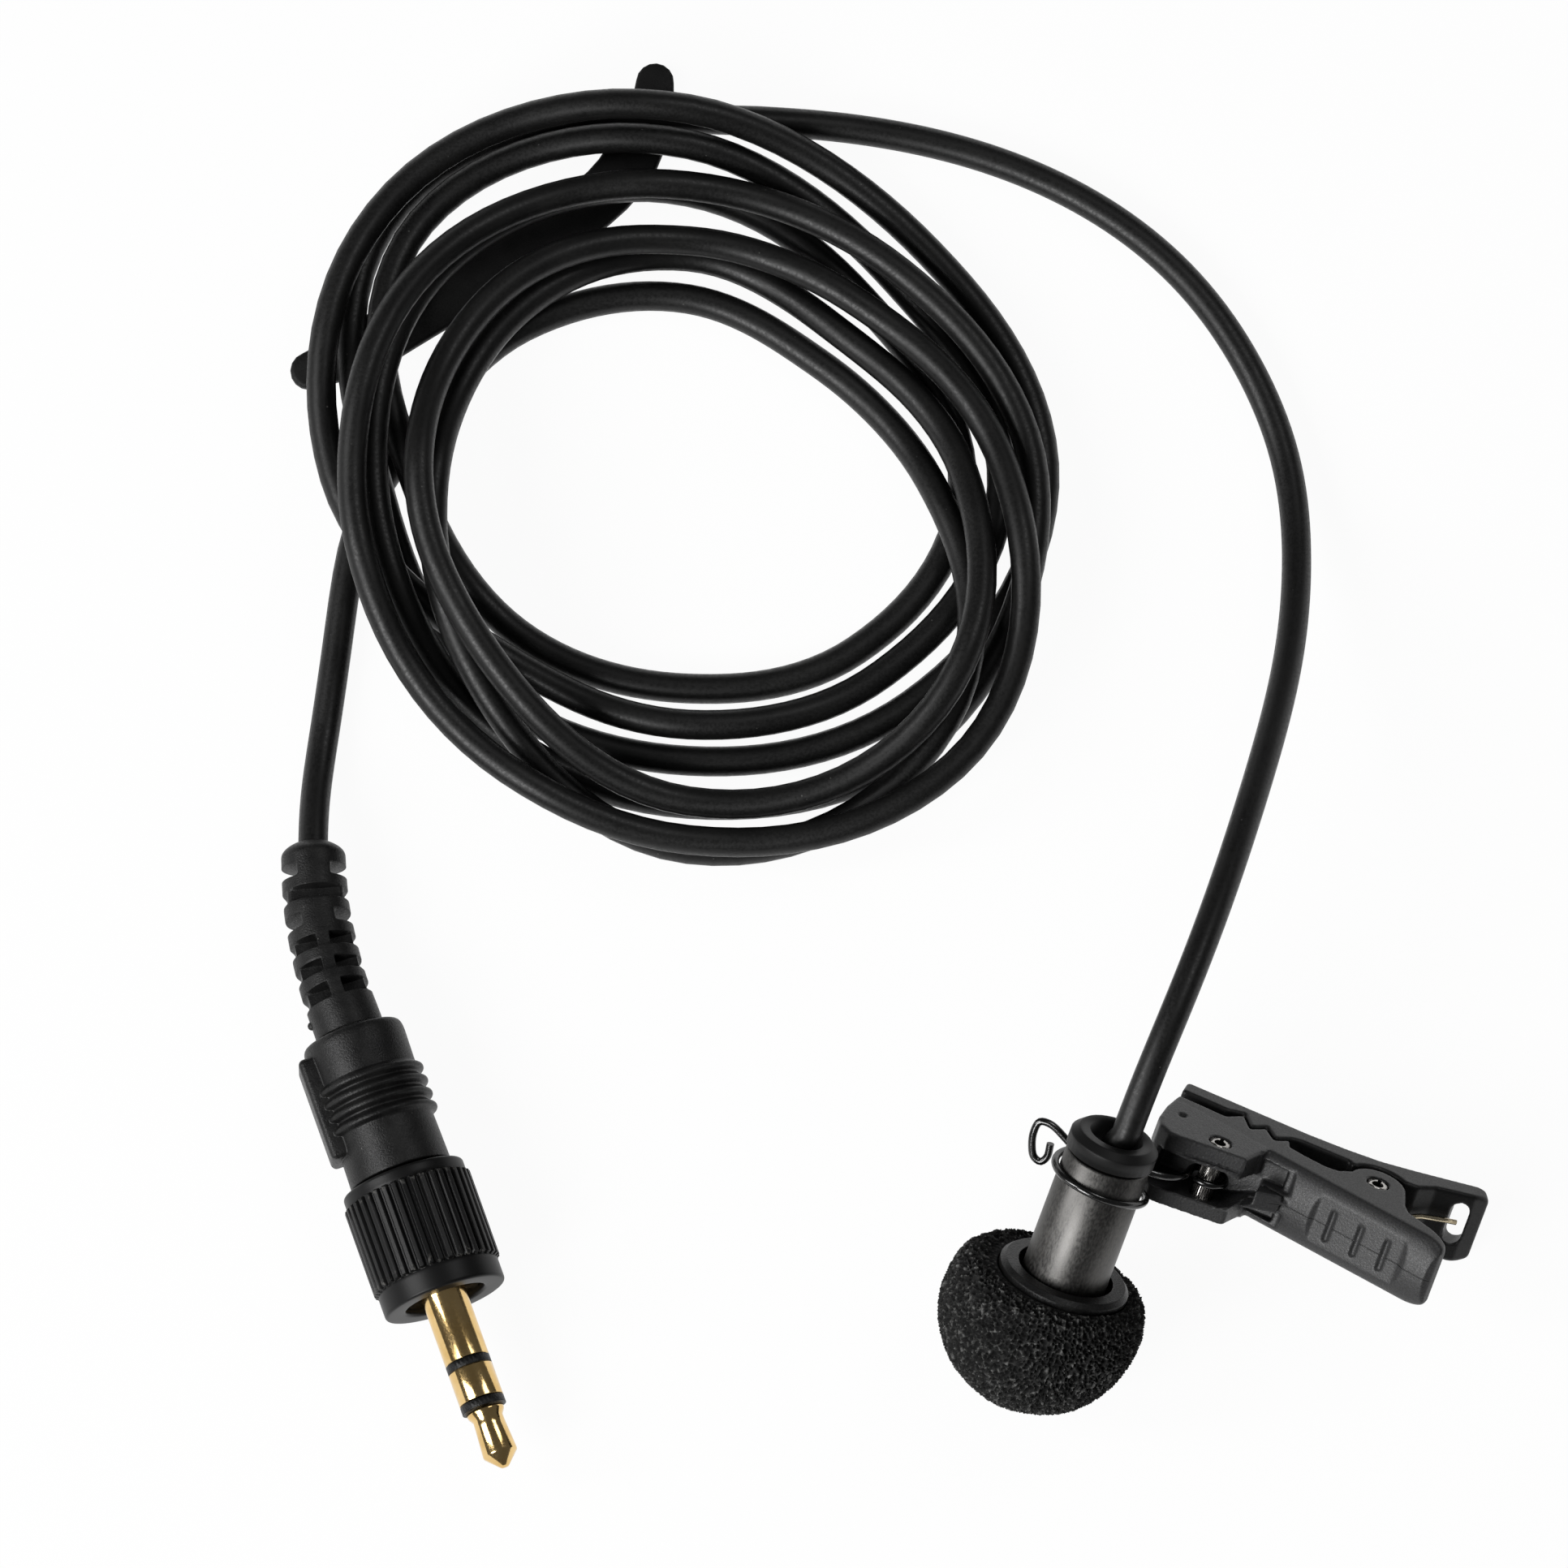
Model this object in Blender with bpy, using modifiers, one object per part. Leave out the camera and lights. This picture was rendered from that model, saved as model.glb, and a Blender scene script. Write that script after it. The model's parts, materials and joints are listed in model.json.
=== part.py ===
"""A lavalier microphone on its clip, with its coiled cord and locking plug.

Metres, +Z up. The microphone lies nose down on its foam windscreen, the
spring clip stands beside it on the table, and the cord is coiled behind them.
The origin is on the table, under the middle of the microphone and its clip.
"""

import math

import bmesh
import bpy
import numpy as np
from mathutils import Matrix, Vector

# Fits
GAP = 0.0003
RUN = 0.0001

# Microphone, placed by the centre of the holder ring on its axis
MIC_AT = (-0.00880, 0.00344, 0.01579)
MIC_PITCH = 37.9
MIC_HEADING = 66.4
TUBE_R = 0.00335
TUBE_WALL = 0.00040
TUBE_REAR = 0.00175
TUBE_LENGTH = 0.01725
TUBE_EDGE = 0.00012
SCREEN_INSET = 0.00020
SCREEN_LENGTH = 0.00060
SCREEN_HOLE_R = 0.00035
SCREEN_HOLE_RING = 0.00150
SCREEN_HOLES = 6
SEAT_WALL = 0.00035
SEAT_LENGTH = 0.00400
CAN_WALL = 0.00030
CAN_FACE = 0.00040
CAN_LENGTH = 0.00380
CAN_INLET_R = 0.00060
DIAPHRAGM_LENGTH = 0.00030
DIAPHRAGM_DIP = 0.00012
BACKPLATE_LENGTH = 0.00050
BACKPLATE_HOLE_R = 0.00022
BOARD_LENGTH = 0.00060
BOARD_INSET = 0.00025
BOARD_PAD_R = 0.00045
BOARD_PAD_LENGTH = 0.00025
BUSH_FLANGE_R = 0.00350
BUSH_FLANGE_LENGTH = 0.00165
BUSH_CHAMFER = 0.00055
BUSH_SPIGOT_LENGTH = 0.00300
BUSH_RECESS_R = 0.00215
BUSH_RECESS_DEPTH = 0.00120
CRIMP_WALL = 0.00080
CRIMP_LENGTH = 0.00200

# Windscreen
FOAM_R = 0.00780
FOAM_CENTRE = -0.01260
FOAM_SHIFT = (-0.00067, 0.00030)
FOAM_RIM = 0.00120
COLLAR_REAR = -0.00850
COLLAR_STAND = 0.00080
COLLAR_FLANGE_R = 0.00515
COLLAR_FLANGE_LENGTH = 0.00170
COLLAR_SLEEVE_R = 0.00415
COLLAR_SLEEVE_LENGTH = 0.00300
COLLAR_PLAY = 0.00045
COLLAR_EDGE = 0.00035

# Wire holder
HOLDER_WIRE_R = 0.00030
HOLDER_PIN_AT = (0.00690, 0.00720)
HOLDER_RISE = 0.00170
HOLDER_LEG = ((0.00530, 0.00560), (0.00420, 0.00430), (0.00240, 0.00380))
HOLDER_HOOK = (
    (-0.00130, -0.00130),
    (-0.00340, -0.00030),
    (-0.00540, 0.00060),
    (-0.00625, 0.00045),
    (-0.00642, -0.00050),
    (-0.00620, -0.00160),
    (-0.00575, -0.00245),
    (-0.00515, -0.00262),
    (-0.00480, -0.00205),
    (-0.00490, -0.00090),
)
PIN_R = 0.00080
PIN_WALL = 0.00033
PIN_SLIT = 0.00030

# Clip, its outlines drawn on a grid of 245 squares over its length,
# across from the holder pin and down from it
CLIP_LENGTH = 0.02450
CLIP_WIDTH = 0.00595
CLIP_SHIFT = 0.00023
BOSS_R = 0.00230
JAW_PLAY = 0.00040
EAR_WALL = 0.00120
BACK_WALL = 0.00130
CROWN = 0.00100
NOSE_ROUND = 0.00130
WINDOW_WIDTH = 0.00310
WINDOW_DEPTH = 0.00100
WIRE_SLOT = 0.00190
POCKET_PLAY = 0.00035
BRIDGE_WIDTH = 0.00160
RECESS_WALL = 0.00070
DIMPLE_R = 0.00035
DIMPLE_DEPTH = 0.00025
LUG_R = 0.00190
LUG_WALL = 0.00070
TOOTH_GAP = 0.00032
PANEL_DEPTH = 0.00028
GROOVE_WIDTH = 0.00045
GROOVE_DEPTH = 0.00022
GROOVE_LENGTH = 0.00270
TAIL_SLOT_WIDTH = 0.00140
TAIL_SLOT_LENGTH = 0.00360
TAIL_SLOT_INSET = 0.00180
SPRING_WIRE_R = 0.00020
SPRING_PITCH = 0.00065
SPRING_TURNS = 2

# Plug, placed by the middle of the lock ring's front face
PLUG_AT = (-0.05875, -0.00365, 0.00505)
PLUG_HEADING = -70.8
RING_LENGTH = 0.01000
RING_REAR_LIP = 0.00095
RING_FRONT_LIP = 0.00185
RING_LIP_R = 0.00482
RING_KNURL_R = 0.00505
RING_FLUTE_DEPTH = 0.00026
RING_FLUTES = 40
RING_MOUTH_R = 0.00315
RING_MOUTH_LENGTH = 0.00140
RING_EDGE = 0.00030
BODY_LENGTH = 0.01170
BODY_R = 0.00400
BODY_RIDGE = 0.00040
BODY_RIDGES = 4
BODY_RIDGE_PITCH = 0.00108
BODY_RIDGE_AT = 0.00610
BODY_SHOULDER = 0.00090
BODY_FACE_R = 0.00315
SPIGOT_R = 0.00320
PLATE_LENGTH = 0.00825
PLATE_AT = 0.00660
PLATE_HEIGHT = 0.00400
PLATE_RISE = 0.00070
PLATE_EDGE = 0.00045
SLEEVE_R = 0.00175
SLEEVE_LENGTH = 0.00500
SLEEVE_WALL = 0.00025
FLANGE_R = 0.00290
FLANGE_INSET = 0.00050
FLANGE_LENGTH = 0.00055
INSULATOR_LENGTH = 0.00060
RING_CONTACT_LENGTH = 0.00255
TIP_LENGTH = 0.00475
TIP_FLANGE_R = 0.00150
TIP_NECK_R = 0.00118
TIP_BULB_R = 0.00136
TIP_NOSE_R = 0.00040
ROD_R = 0.00050
SKIN = 0.00010
SHELL = 0.00020

# Bend relief, a moulded tail from the plug to the cord
RELIEF_BASE_R = 0.00268
RELIEF_CAP_R = 0.00247
RELIEF_DOME = 0.00115
RELIEF_CORE_R = 0.00160
RELIEF_COLUMN = 0.00125
RELIEF_GROOVE = 0.00036
RELIEF_SLOT = 0.00100
RELIEF_PITCH = 0.00205
RELIEF_FIRST = 0.00285
RELIEF_WEB = 0.00105
RELIEF_ROUTE = (
    (-0.06693, 0.01980, 0.00495),
    (-0.06732, 0.02100, 0.00475),
    (-0.06782, 0.02295, 0.00445),
    (-0.06835, 0.02545, 0.00415),
    (-0.06865, 0.02735, 0.00390),
    (-0.06883, 0.02940, 0.00368),
    (-0.06892, 0.03140, 0.00360),
)

# Cord
CORD_R = 0.00115
COIL_CENTRE = (-0.04028, 0.06129)
COIL_RADII = (
    (0.0289, 0.0316, 0.0239, 0.0222, 0.0216, 0.0242, 0.0273, 0.0262),
    (0.0287, 0.0317, 0.0271, 0.0198, 0.0192, 0.0211, 0.0240, 0.0228),
    (0.0264, 0.0290, 0.0211, 0.0172, 0.0159, 0.0182, 0.0210, 0.0199),
    (0.0232, 0.0252, 0.0241, 0.0244, 0.0250, 0.0272, 0.0265, 0.0230),
    (0.0229, 0.0252, 0.0257, 0.0269, 0.0288, 0.0307, 0.0243, 0.0190),
    (0.0187, 0.0202, 0.0206, 0.0216, 0.0256, 0.0268, 0.0211, 0.0166),
    (0.0182, 0.0186, 0.0193, 0.0229, 0.0288, 0.0277, 0.0185, 0.0140),
    (0.0149, 0.0179, 0.0238, 0.0412, 0.1050),
)
COIL_STATIONS = 58.75
COIL_LEVELS = ((0, 1), (6, 3), (14, 2), (24, 4), (32, 7), (40, 6), (48, 5), (56, 0))
COIL_CLEAR = 0.00072
LEAD_LEAN = 0.00060
LEAD_STEP = 0.00300
MIC_LEAD_ROUTE = (
    (-0.00635, 0.00805, 0.01960),
    (-0.00522, 0.01030, 0.02080),
    (-0.00410, 0.01270, 0.02140),
    (-0.00304, 0.01525, 0.02150),
    (-0.00203, 0.01790, 0.02110),
    (-0.00010, 0.02345, 0.01940),
    (0.00163, 0.02925, 0.01680),
    (0.00322, 0.03515, 0.01360),
    (0.00470, 0.04110, 0.01020),
    (0.00585, 0.04705, 0.00690),
    (0.00637, 0.05290, 0.00410),
    (0.00637, 0.05845, 0.00230),
    (0.00580, 0.06375, 0.00140),
    (0.00395, 0.06865, 0.00118),
    (0.00022, 0.07537, 0.00118),
    (-0.00350, 0.07957, 0.00118),
    (-0.00725, 0.08258, 0.00118),
    (-0.01095, 0.08484, 0.00118),
    (-0.01840, 0.08792, 0.00118),
    (-0.02585, 0.08951, 0.00125),
    (-0.02960, 0.09000, 0.00150),
)
PLUG_LEAD_ROUTE = (
    (-0.06870, 0.03810, 0.00175),
    (-0.06891, 0.03530, 0.00275),
)

# Tie strap
STRAP_WIDTH = 0.00420
STRAP_END = 0.00290
STRAP_TAPER = 0.00600
STRAP_THICK = 0.00100
STRAP_ROUTE = (
    (-0.04285, 0.09355),
    (-0.04320, 0.09090),
    (-0.04530, 0.08640),
    (-0.04850, 0.08320),
    (-0.05520, 0.07880),
    (-0.06150, 0.07480),
    (-0.06600, 0.07205),
    (-0.06935, 0.07065),
)


def clear_scene():
    """Take every object out of the scene."""
    for item in list(bpy.data.objects):
        bpy.data.objects.remove(item, do_unlink=True)


clear_scene()
PARTS = bpy.data.collections.new("lavalier_microphone")
CUTTERS = bpy.data.collections.new("cutters")
for group in (PARTS, CUTTERS):
    bpy.context.scene.collection.children.link(group)


def frame(name, at, rotation, parent=None):
    """An empty that carries the pieces of one sub-assembly."""
    item = bpy.data.objects.new(name, None)
    item.empty_display_size = 0.004
    item.location = at
    item.rotation_euler = [math.radians(value) for value in rotation]
    item.parent = parent
    PARTS.objects.link(item)
    bpy.context.view_layer.update()
    return item


def add(name, data, parent, at=(0.0, 0.0, 0.0)):
    """Link one object under its frame."""
    item = bpy.data.objects.new(name, data)
    item.parent = parent
    item.location = at
    PARTS.objects.link(item)
    return item


def as_cutter(item):
    """Turn an object into a tool that only cuts or joins."""
    PARTS.objects.unlink(item)
    CUTTERS.objects.link(item)
    item.hide_render = True
    item.display_type = "WIRE"
    return item


def boolean(item, tool, operation):
    """Cut or join one object with another."""
    step = item.modifiers.new(tool.name, "BOOLEAN")
    step.operation = operation
    step.solver = "EXACT"
    step.object = as_cutter(tool)
    return item


def cut(item, *tools):
    """Take tools away from an object."""
    for tool in tools:
        boolean(item, tool, "DIFFERENCE")
    return item


def join(item, *tools):
    """Add tools to an object."""
    for tool in tools:
        boolean(item, tool, "UNION")
    return item


def colour(item, rgb, roughness, metallic=0.0):
    """Give an object its own material."""
    made = bpy.data.materials.new(item.name)
    made.use_nodes = True
    shader = made.node_tree.nodes["Principled BSDF"]
    shader.inputs["Base Color"].default_value = (*rgb, 1.0)
    shader.inputs["Roughness"].default_value = roughness
    shader.inputs["Metallic"].default_value = metallic
    item.data.materials.append(made)
    return item


def smooth(item, angle=35.0):
    """Shade a round piece smooth, with its real edges sharp."""
    item.data.shade_smooth()
    item.data.set_sharp_from_angle(angle=math.radians(angle))
    return item


def turned(name, profile, parent, steps=40, ring=False):
    """Turn a profile of (radius, height) points about the frame's Z axis."""
    data = bpy.data.meshes.new(name)
    points = [(radius, 0.0, height) for radius, height in profile]
    edges = [(i, i + 1) for i in range(len(points) - 1)]
    if ring:
        edges.append((len(points) - 1, 0))
    data.from_pydata(points, edges, [])
    item = add(name, data, parent)
    screw = item.modifiers.new("turn", "SCREW")
    screw.axis = "Z"
    screw.steps = steps
    screw.render_steps = steps
    screw.use_merge_vertices = True
    screw.merge_threshold = 0.000002
    screw.use_smooth_shade = True
    return item


def made_mesh(item, weld=0.000002, flat=False):
    """Replace a curve object by a closed mesh of the same name and place."""
    bpy.context.view_layer.update()
    graph = bpy.context.evaluated_depsgraph_get()
    data = bpy.data.meshes.new_from_object(item.evaluated_get(graph))
    work = bmesh.new()
    work.from_mesh(data)
    bmesh.ops.remove_doubles(work, verts=work.verts, dist=weld)
    bmesh.ops.recalc_face_normals(work, faces=work.faces)
    if flat:
        bmesh.ops.dissolve_limit(work, angle_limit=0.002, verts=work.verts, edges=work.edges)
    work.to_mesh(data)
    work.free()
    name, parent, place = item.name, item.parent, item.matrix_local.copy()
    bpy.data.objects.remove(item, do_unlink=True)
    data.name = name
    fresh = add(name, data, parent)
    fresh.matrix_local = place
    return fresh


def plate(name, outline, low, high, parent, holes=()):
    """A flat outline in the frame's XY plane, from one height to another."""
    data = bpy.data.curves.new(name, "CURVE")
    data.dimensions = "2D"
    data.fill_mode = "BOTH"
    data.extrude = (high - low) / 2
    for loop in (outline, *holes):
        spline = data.splines.new("POLY")
        spline.points.add(len(loop) - 1)
        for point, (x, y) in zip(spline.points, loop):
            point.co = (x, y, 0.0, 1.0)
        spline.use_cyclic_u = True
    return made_mesh(add(name, data, parent, (0.0, 0.0, (low + high) / 2)), flat=True)


def wire(name, points, radius, parent, resolution=2, radii=None):
    """A round wire along a line of points."""
    data = bpy.data.curves.new(name, "CURVE")
    data.dimensions = "3D"
    data.bevel_depth = radius
    data.bevel_resolution = resolution
    data.use_fill_caps = True
    data.twist_mode = "MINIMUM"
    spline = data.splines.new("POLY")
    spline.points.add(len(points) - 1)
    for index, point in enumerate(points):
        spline.points[index].co = (*point, 1.0)
        if radii is not None:
            spline.points[index].radius = radii[index] / radius
    return made_mesh(add(name, data, parent))


def rod(name, radius, low, high, parent, at=(0.0, 0.0), sides=24):
    """A cylinder along the frame's Z axis."""
    work = bmesh.new()
    bmesh.ops.create_cone(
        work,
        cap_ends=True,
        segments=sides,
        radius1=radius,
        radius2=radius,
        depth=high - low,
    )
    data = bpy.data.meshes.new(name)
    work.to_mesh(data)
    work.free()
    return add(name, data, parent, (at[0], at[1], (low + high) / 2))


def block(name, low, high, parent):
    """A box between two corners."""
    work = bmesh.new()
    bmesh.ops.create_cube(work, size=1.0)
    size = [b - a for a, b in zip(low, high)]
    bmesh.ops.scale(work, vec=size, verts=work.verts)
    data = bpy.data.meshes.new(name)
    work.to_mesh(data)
    work.free()
    return add(name, data, parent, [(a + b) / 2 for a, b in zip(low, high)])


def arc(centre, radius, start, end, count):
    """Points on a circle, from one angle to another in degrees."""
    angles = np.radians(np.linspace(start, end, count))
    return [
        (centre[0] + radius * math.cos(t), centre[1] + radius * math.sin(t))
        for t in angles
    ]


def through(route, step):
    """Evenly spaced points on a smooth curve through the route's points."""
    points = np.array(route, dtype=float)
    first = 2 * points[0] - points[1]
    last = 2 * points[-1] - points[-2]
    points = np.vstack([first, points, last])
    dense = []
    for p0, p1, p2, p3 in zip(points, points[1:], points[2:], points[3:]):
        t0 = 0.0
        t1 = t0 + np.linalg.norm(p1 - p0) ** 0.5
        t2 = t1 + np.linalg.norm(p2 - p1) ** 0.5
        t3 = t2 + np.linalg.norm(p3 - p2) ** 0.5
        for t in np.linspace(t1, t2, 24, endpoint=False):
            a1 = ((t1 - t) * p0 + (t - t0) * p1) / (t1 - t0)
            a2 = ((t2 - t) * p1 + (t - t1) * p2) / (t2 - t1)
            a3 = ((t3 - t) * p2 + (t - t2) * p3) / (t3 - t2)
            b1 = ((t2 - t) * a1 + (t - t0) * a2) / (t2 - t0)
            b2 = ((t3 - t) * a2 + (t - t1) * a3) / (t3 - t1)
            dense.append(((t2 - t) * b1 + (t - t1) * b2) / (t2 - t1))
    dense.append(points[-2])
    dense = np.array(dense)
    along = np.concatenate([[0.0], np.cumsum(np.linalg.norm(np.diff(dense, axis=0), axis=1))])
    count = max(2, int(round(along[-1] / step)) + 1)
    marks = np.linspace(0.0, along[-1], count)
    return np.column_stack([np.interp(marks, along, dense[:, k]) for k in range(3)])


def on_clip(*places):
    """Places on the clip's grid, in metres."""
    unit = CLIP_LENGTH / 245
    return [(across * unit, down * unit) for across, down in places]


JAW_PIN_AT = on_clip((120, 42))[0]

# Frames of the sub-assemblies
MIC = frame("microphone_frame", MIC_AT, (MIC_PITCH - 90.0, 0.0, MIC_HEADING - 90.0))
CLIP = frame("clip_frame", (*HOLDER_PIN_AT, 0.0), (0.0, 0.0, 0.0), MIC)
JAW = frame("jaw_frame", (*JAW_PIN_AT, 0.0), (0.0, 0.0, 0.0), CLIP)
PLUG = frame("plug_frame", PLUG_AT, (0.0, 90.0, PLUG_HEADING))
TABLE = frame("table_frame", (0.0, 0.0, 0.0), (0.0, 0.0, 0.0))

MIC_AXIS = np.array(MIC.matrix_world.to_3x3() @ Vector((0.0, 0.0, 1.0)))
MIC_SIDE = np.array(MIC.matrix_world.to_3x3() @ Vector((1.0, 0.0, 0.0)))
PLUG_AXIS = np.array(PLUG.matrix_world.to_3x3() @ Vector((0.0, 0.0, 1.0)))
MIC_CENTRE = np.array(MIC_AT)
PLUG_CENTRE = np.array(PLUG_AT)

BORE_R = TUBE_R - TUBE_WALL
TUBE_FRONT = TUBE_REAR - TUBE_LENGTH


def ring_profile(outer, inner, low, high, edge=0.0):
    """A plain ring, with its outer edges broken."""
    return [
        (inner, high),
        (outer - edge, high),
        (outer, high - edge),
        (outer, low + edge),
        (outer - edge, low),
        (inner, low),
    ]


def build_microphone():
    """Body tube, capsule stack and rear bush, all on the microphone's axis."""
    tube = turned(
        "mic_body_tube",
        ring_profile(TUBE_R, BORE_R, TUBE_FRONT, TUBE_REAR, TUBE_EDGE),
        MIC,
        40,
        True,
    )
    colour(tube, (0.10, 0.10, 0.105), 0.35, 0.9)

    fit_r = BORE_R - GAP
    front = TUBE_FRONT + SCREEN_INSET
    screen = rod("front_screen", fit_r, front, front + SCREEN_LENGTH, MIC, sides=32)
    holes = [(0.0, 0.0)]
    holes += arc((0.0, 0.0), SCREEN_HOLE_RING, 0.0, 360.0, SCREEN_HOLES + 1)[:-1]
    for index, place in enumerate(holes):
        tool = rod(
            f"screen_hole_{index}",
            SCREEN_HOLE_R,
            front - GAP,
            front + SCREEN_LENGTH + GAP,
            MIC,
            place,
            10,
        )
        cut(screen, tool)
    colour(screen, (0.06, 0.06, 0.06), 0.4, 0.8)

    seat_front = front + SCREEN_LENGTH + GAP
    seat_inner = fit_r - SEAT_WALL
    seat = turned(
        "capsule_seat",
        ring_profile(fit_r, seat_inner, seat_front, seat_front + SEAT_LENGTH),
        MIC,
        32,
        True,
    )
    colour(seat, (0.03, 0.03, 0.03), 0.8)

    can_r = seat_inner - GAP
    can_bore = can_r - CAN_WALL
    can_rear = seat_front + CAN_LENGTH
    can_profile = [
        (can_bore, can_rear),
        (can_r, can_rear),
        (can_r, seat_front),
        (CAN_INLET_R, seat_front),
        (CAN_INLET_R, seat_front + CAN_FACE),
        (can_bore, seat_front + CAN_FACE),
    ]
    can = turned("capsule_can", can_profile, MIC, 28, True)
    colour(can, (0.62, 0.62, 0.60), 0.3, 1.0)

    disc_r = can_bore - GAP
    at = seat_front + CAN_FACE + GAP
    dished = [
        (0.0, at + DIAPHRAGM_LENGTH - DIAPHRAGM_DIP),
        (disc_r * 0.7, at + DIAPHRAGM_LENGTH - DIAPHRAGM_DIP),
        (disc_r * 0.8, at + DIAPHRAGM_LENGTH),
        (disc_r, at + DIAPHRAGM_LENGTH),
        (disc_r, at),
        (0.0, at),
    ]
    diaphragm = turned("capsule_diaphragm", dished, MIC, 24)
    colour(diaphragm, (0.55, 0.50, 0.38), 0.25, 0.9)

    at = at + DIAPHRAGM_LENGTH + GAP
    back = rod("capsule_backplate", disc_r, at, at + BACKPLATE_LENGTH, MIC, sides=24)
    for index, place in enumerate(arc((0.0, 0.0), disc_r * 0.55, 45.0, 405.0, 5)[:-1]):
        tool = rod(
            f"backplate_hole_{index}",
            BACKPLATE_HOLE_R,
            at - GAP / 2,
            at + BACKPLATE_LENGTH + GAP / 2,
            MIC,
            place,
            8,
        )
        cut(back, tool)
    colour(back, (0.75, 0.60, 0.30), 0.3, 1.0)

    low = can_rear - BOARD_INSET - BOARD_LENGTH
    board = rod("capsule_board", disc_r, low, low + BOARD_LENGTH, MIC, sides=24)
    for index, side in enumerate((-1.0, 1.0)):
        pad = rod(
            f"board_pad_{index}",
            BOARD_PAD_R,
            low + BOARD_LENGTH / 2,
            low + BOARD_LENGTH + BOARD_PAD_LENGTH,
            MIC,
            (side * disc_r * 0.5, 0.0),
            10,
        )
        join(board, pad)
    colour(board, (0.02, 0.12, 0.05), 0.6)

    cord_bore = CORD_R + GAP
    flange = TUBE_REAR + GAP
    rear = flange + BUSH_FLANGE_LENGTH
    bush_profile = [
        (BUSH_RECESS_R, rear),
        (BUSH_FLANGE_R - BUSH_CHAMFER, rear),
        (BUSH_FLANGE_R, rear - BUSH_CHAMFER),
        (BUSH_FLANGE_R, flange),
        (BORE_R - GAP, flange),
        (BORE_R - GAP, flange - BUSH_SPIGOT_LENGTH),
        (cord_bore, flange - BUSH_SPIGOT_LENGTH),
        (cord_bore, rear - BUSH_RECESS_DEPTH),
        (BUSH_RECESS_R, rear - BUSH_RECESS_DEPTH),
    ]
    bush = turned("rear_bush", bush_profile, MIC, 36, True)
    colour(bush, (0.015, 0.015, 0.016), 0.55)

    high = flange - BUSH_SPIGOT_LENGTH - GAP
    crimp = turned(
        "cable_crimp",
        ring_profile(cord_bore + CRIMP_WALL, cord_bore, high - CRIMP_LENGTH, high),
        MIC,
        24,
        True,
    )
    colour(crimp, (0.70, 0.68, 0.62), 0.35, 1.0)
    return rear, high - CRIMP_LENGTH


def build_windscreen():
    """Foam ball and the collar that holds it on the tube."""
    collar_front = COLLAR_REAR - COLLAR_FLANGE_LENGTH
    bore = TUBE_R + COLLAR_PLAY
    collar_profile = [
        (bore, COLLAR_REAR),
        (COLLAR_FLANGE_R - COLLAR_EDGE, COLLAR_REAR),
        (COLLAR_FLANGE_R, COLLAR_REAR - COLLAR_EDGE),
        (COLLAR_FLANGE_R, collar_front),
        (COLLAR_SLEEVE_R, collar_front),
        (COLLAR_SLEEVE_R, collar_front - COLLAR_SLEEVE_LENGTH),
        (bore, collar_front - COLLAR_SLEEVE_LENGTH),
    ]
    collar = turned("windscreen_collar", collar_profile, MIC, 36, True)
    colour(collar, (0.012, 0.012, 0.013), 0.6)

    face = COLLAR_REAR - COLLAR_STAND
    rim_r = math.sqrt(FOAM_R ** 2 - (face - FOAM_CENTRE) ** 2)
    tilt = math.degrees(math.asin((face - FOAM_CENTRE) / FOAM_R))
    stop = tilt - math.degrees(FOAM_RIM / FOAM_R)
    ball = arc((0.0, FOAM_CENTRE), FOAM_R, -90.0, stop, 14)
    ball[0] = (0.0, FOAM_CENTRE - FOAM_R)
    start = np.array(ball[-1])
    corner = np.array((rim_r, face))
    end = np.array((rim_r - FOAM_RIM, face))
    rim = [
        tuple((1 - t) ** 2 * start + 2 * t * (1 - t) * corner + t ** 2 * end)
        for t in np.linspace(0.0, 1.0, 5)[1:]
    ]
    foam = turned("windscreen_foam", [(0.0, face)] + rim[::-1] + ball[::-1], MIC, 36)
    foam.location = (*FOAM_SHIFT, 0.0)
    seat = collar_front - GAP
    step = seat - COLLAR_SLEEVE_LENGTH
    end_face = TUBE_FRONT - GAP
    bore = turned(
        "foam_bore",
        [
            (0.0, face + GAP),
            (COLLAR_FLANGE_R + GAP, face + GAP),
            (COLLAR_FLANGE_R + GAP, seat),
            (COLLAR_SLEEVE_R + GAP, seat),
            (COLLAR_SLEEVE_R + GAP, step),
            (TUBE_R + GAP, step),
            (TUBE_R + GAP, end_face),
            (0.0, end_face),
        ],
        MIC,
        36,
    )
    cut(foam, bore)
    colour(foam, (0.012, 0.012, 0.012), 0.95)


def build_holder():
    """One wire: an eye on the holder pin, a turn round the tube, a free hook."""
    ring_r = TUBE_R + RUN + HOLDER_WIRE_R
    eye_r = PIN_R + GAP + HOLDER_WIRE_R
    eye = [(x, y, 0.0001) for x, y in arc(HOLDER_PIN_AT, eye_r, -119.0, 171.0, 22)]
    leg = [(x, y, 0.0001) for x, y in HOLDER_LEG]
    turn = []
    for angle in range(90, 451, 15):
        along = (angle - 90) / 360
        lift = -HOLDER_RISE * max(0.0, (along - 0.45) / 0.55) ** 1.5
        x, y = arc((0.0, 0.0), ring_r, angle, angle, 1)[0]
        turn.append((x, y, 0.0001 + lift))
    hook = [(x, ring_r, z) for x, z in HOLDER_HOOK]
    points = through(eye + leg + turn + hook, 0.00065)
    item = wire("holder_wire", points, HOLDER_WIRE_R, MIC, 1)
    colour(item, (0.05, 0.05, 0.052), 0.25, 1.0)


def clip_heights():
    """The clip's two sides along the microphone's axis."""
    return CLIP_SHIFT - CLIP_WIDTH / 2, CLIP_SHIFT + CLIP_WIDTH / 2


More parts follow.
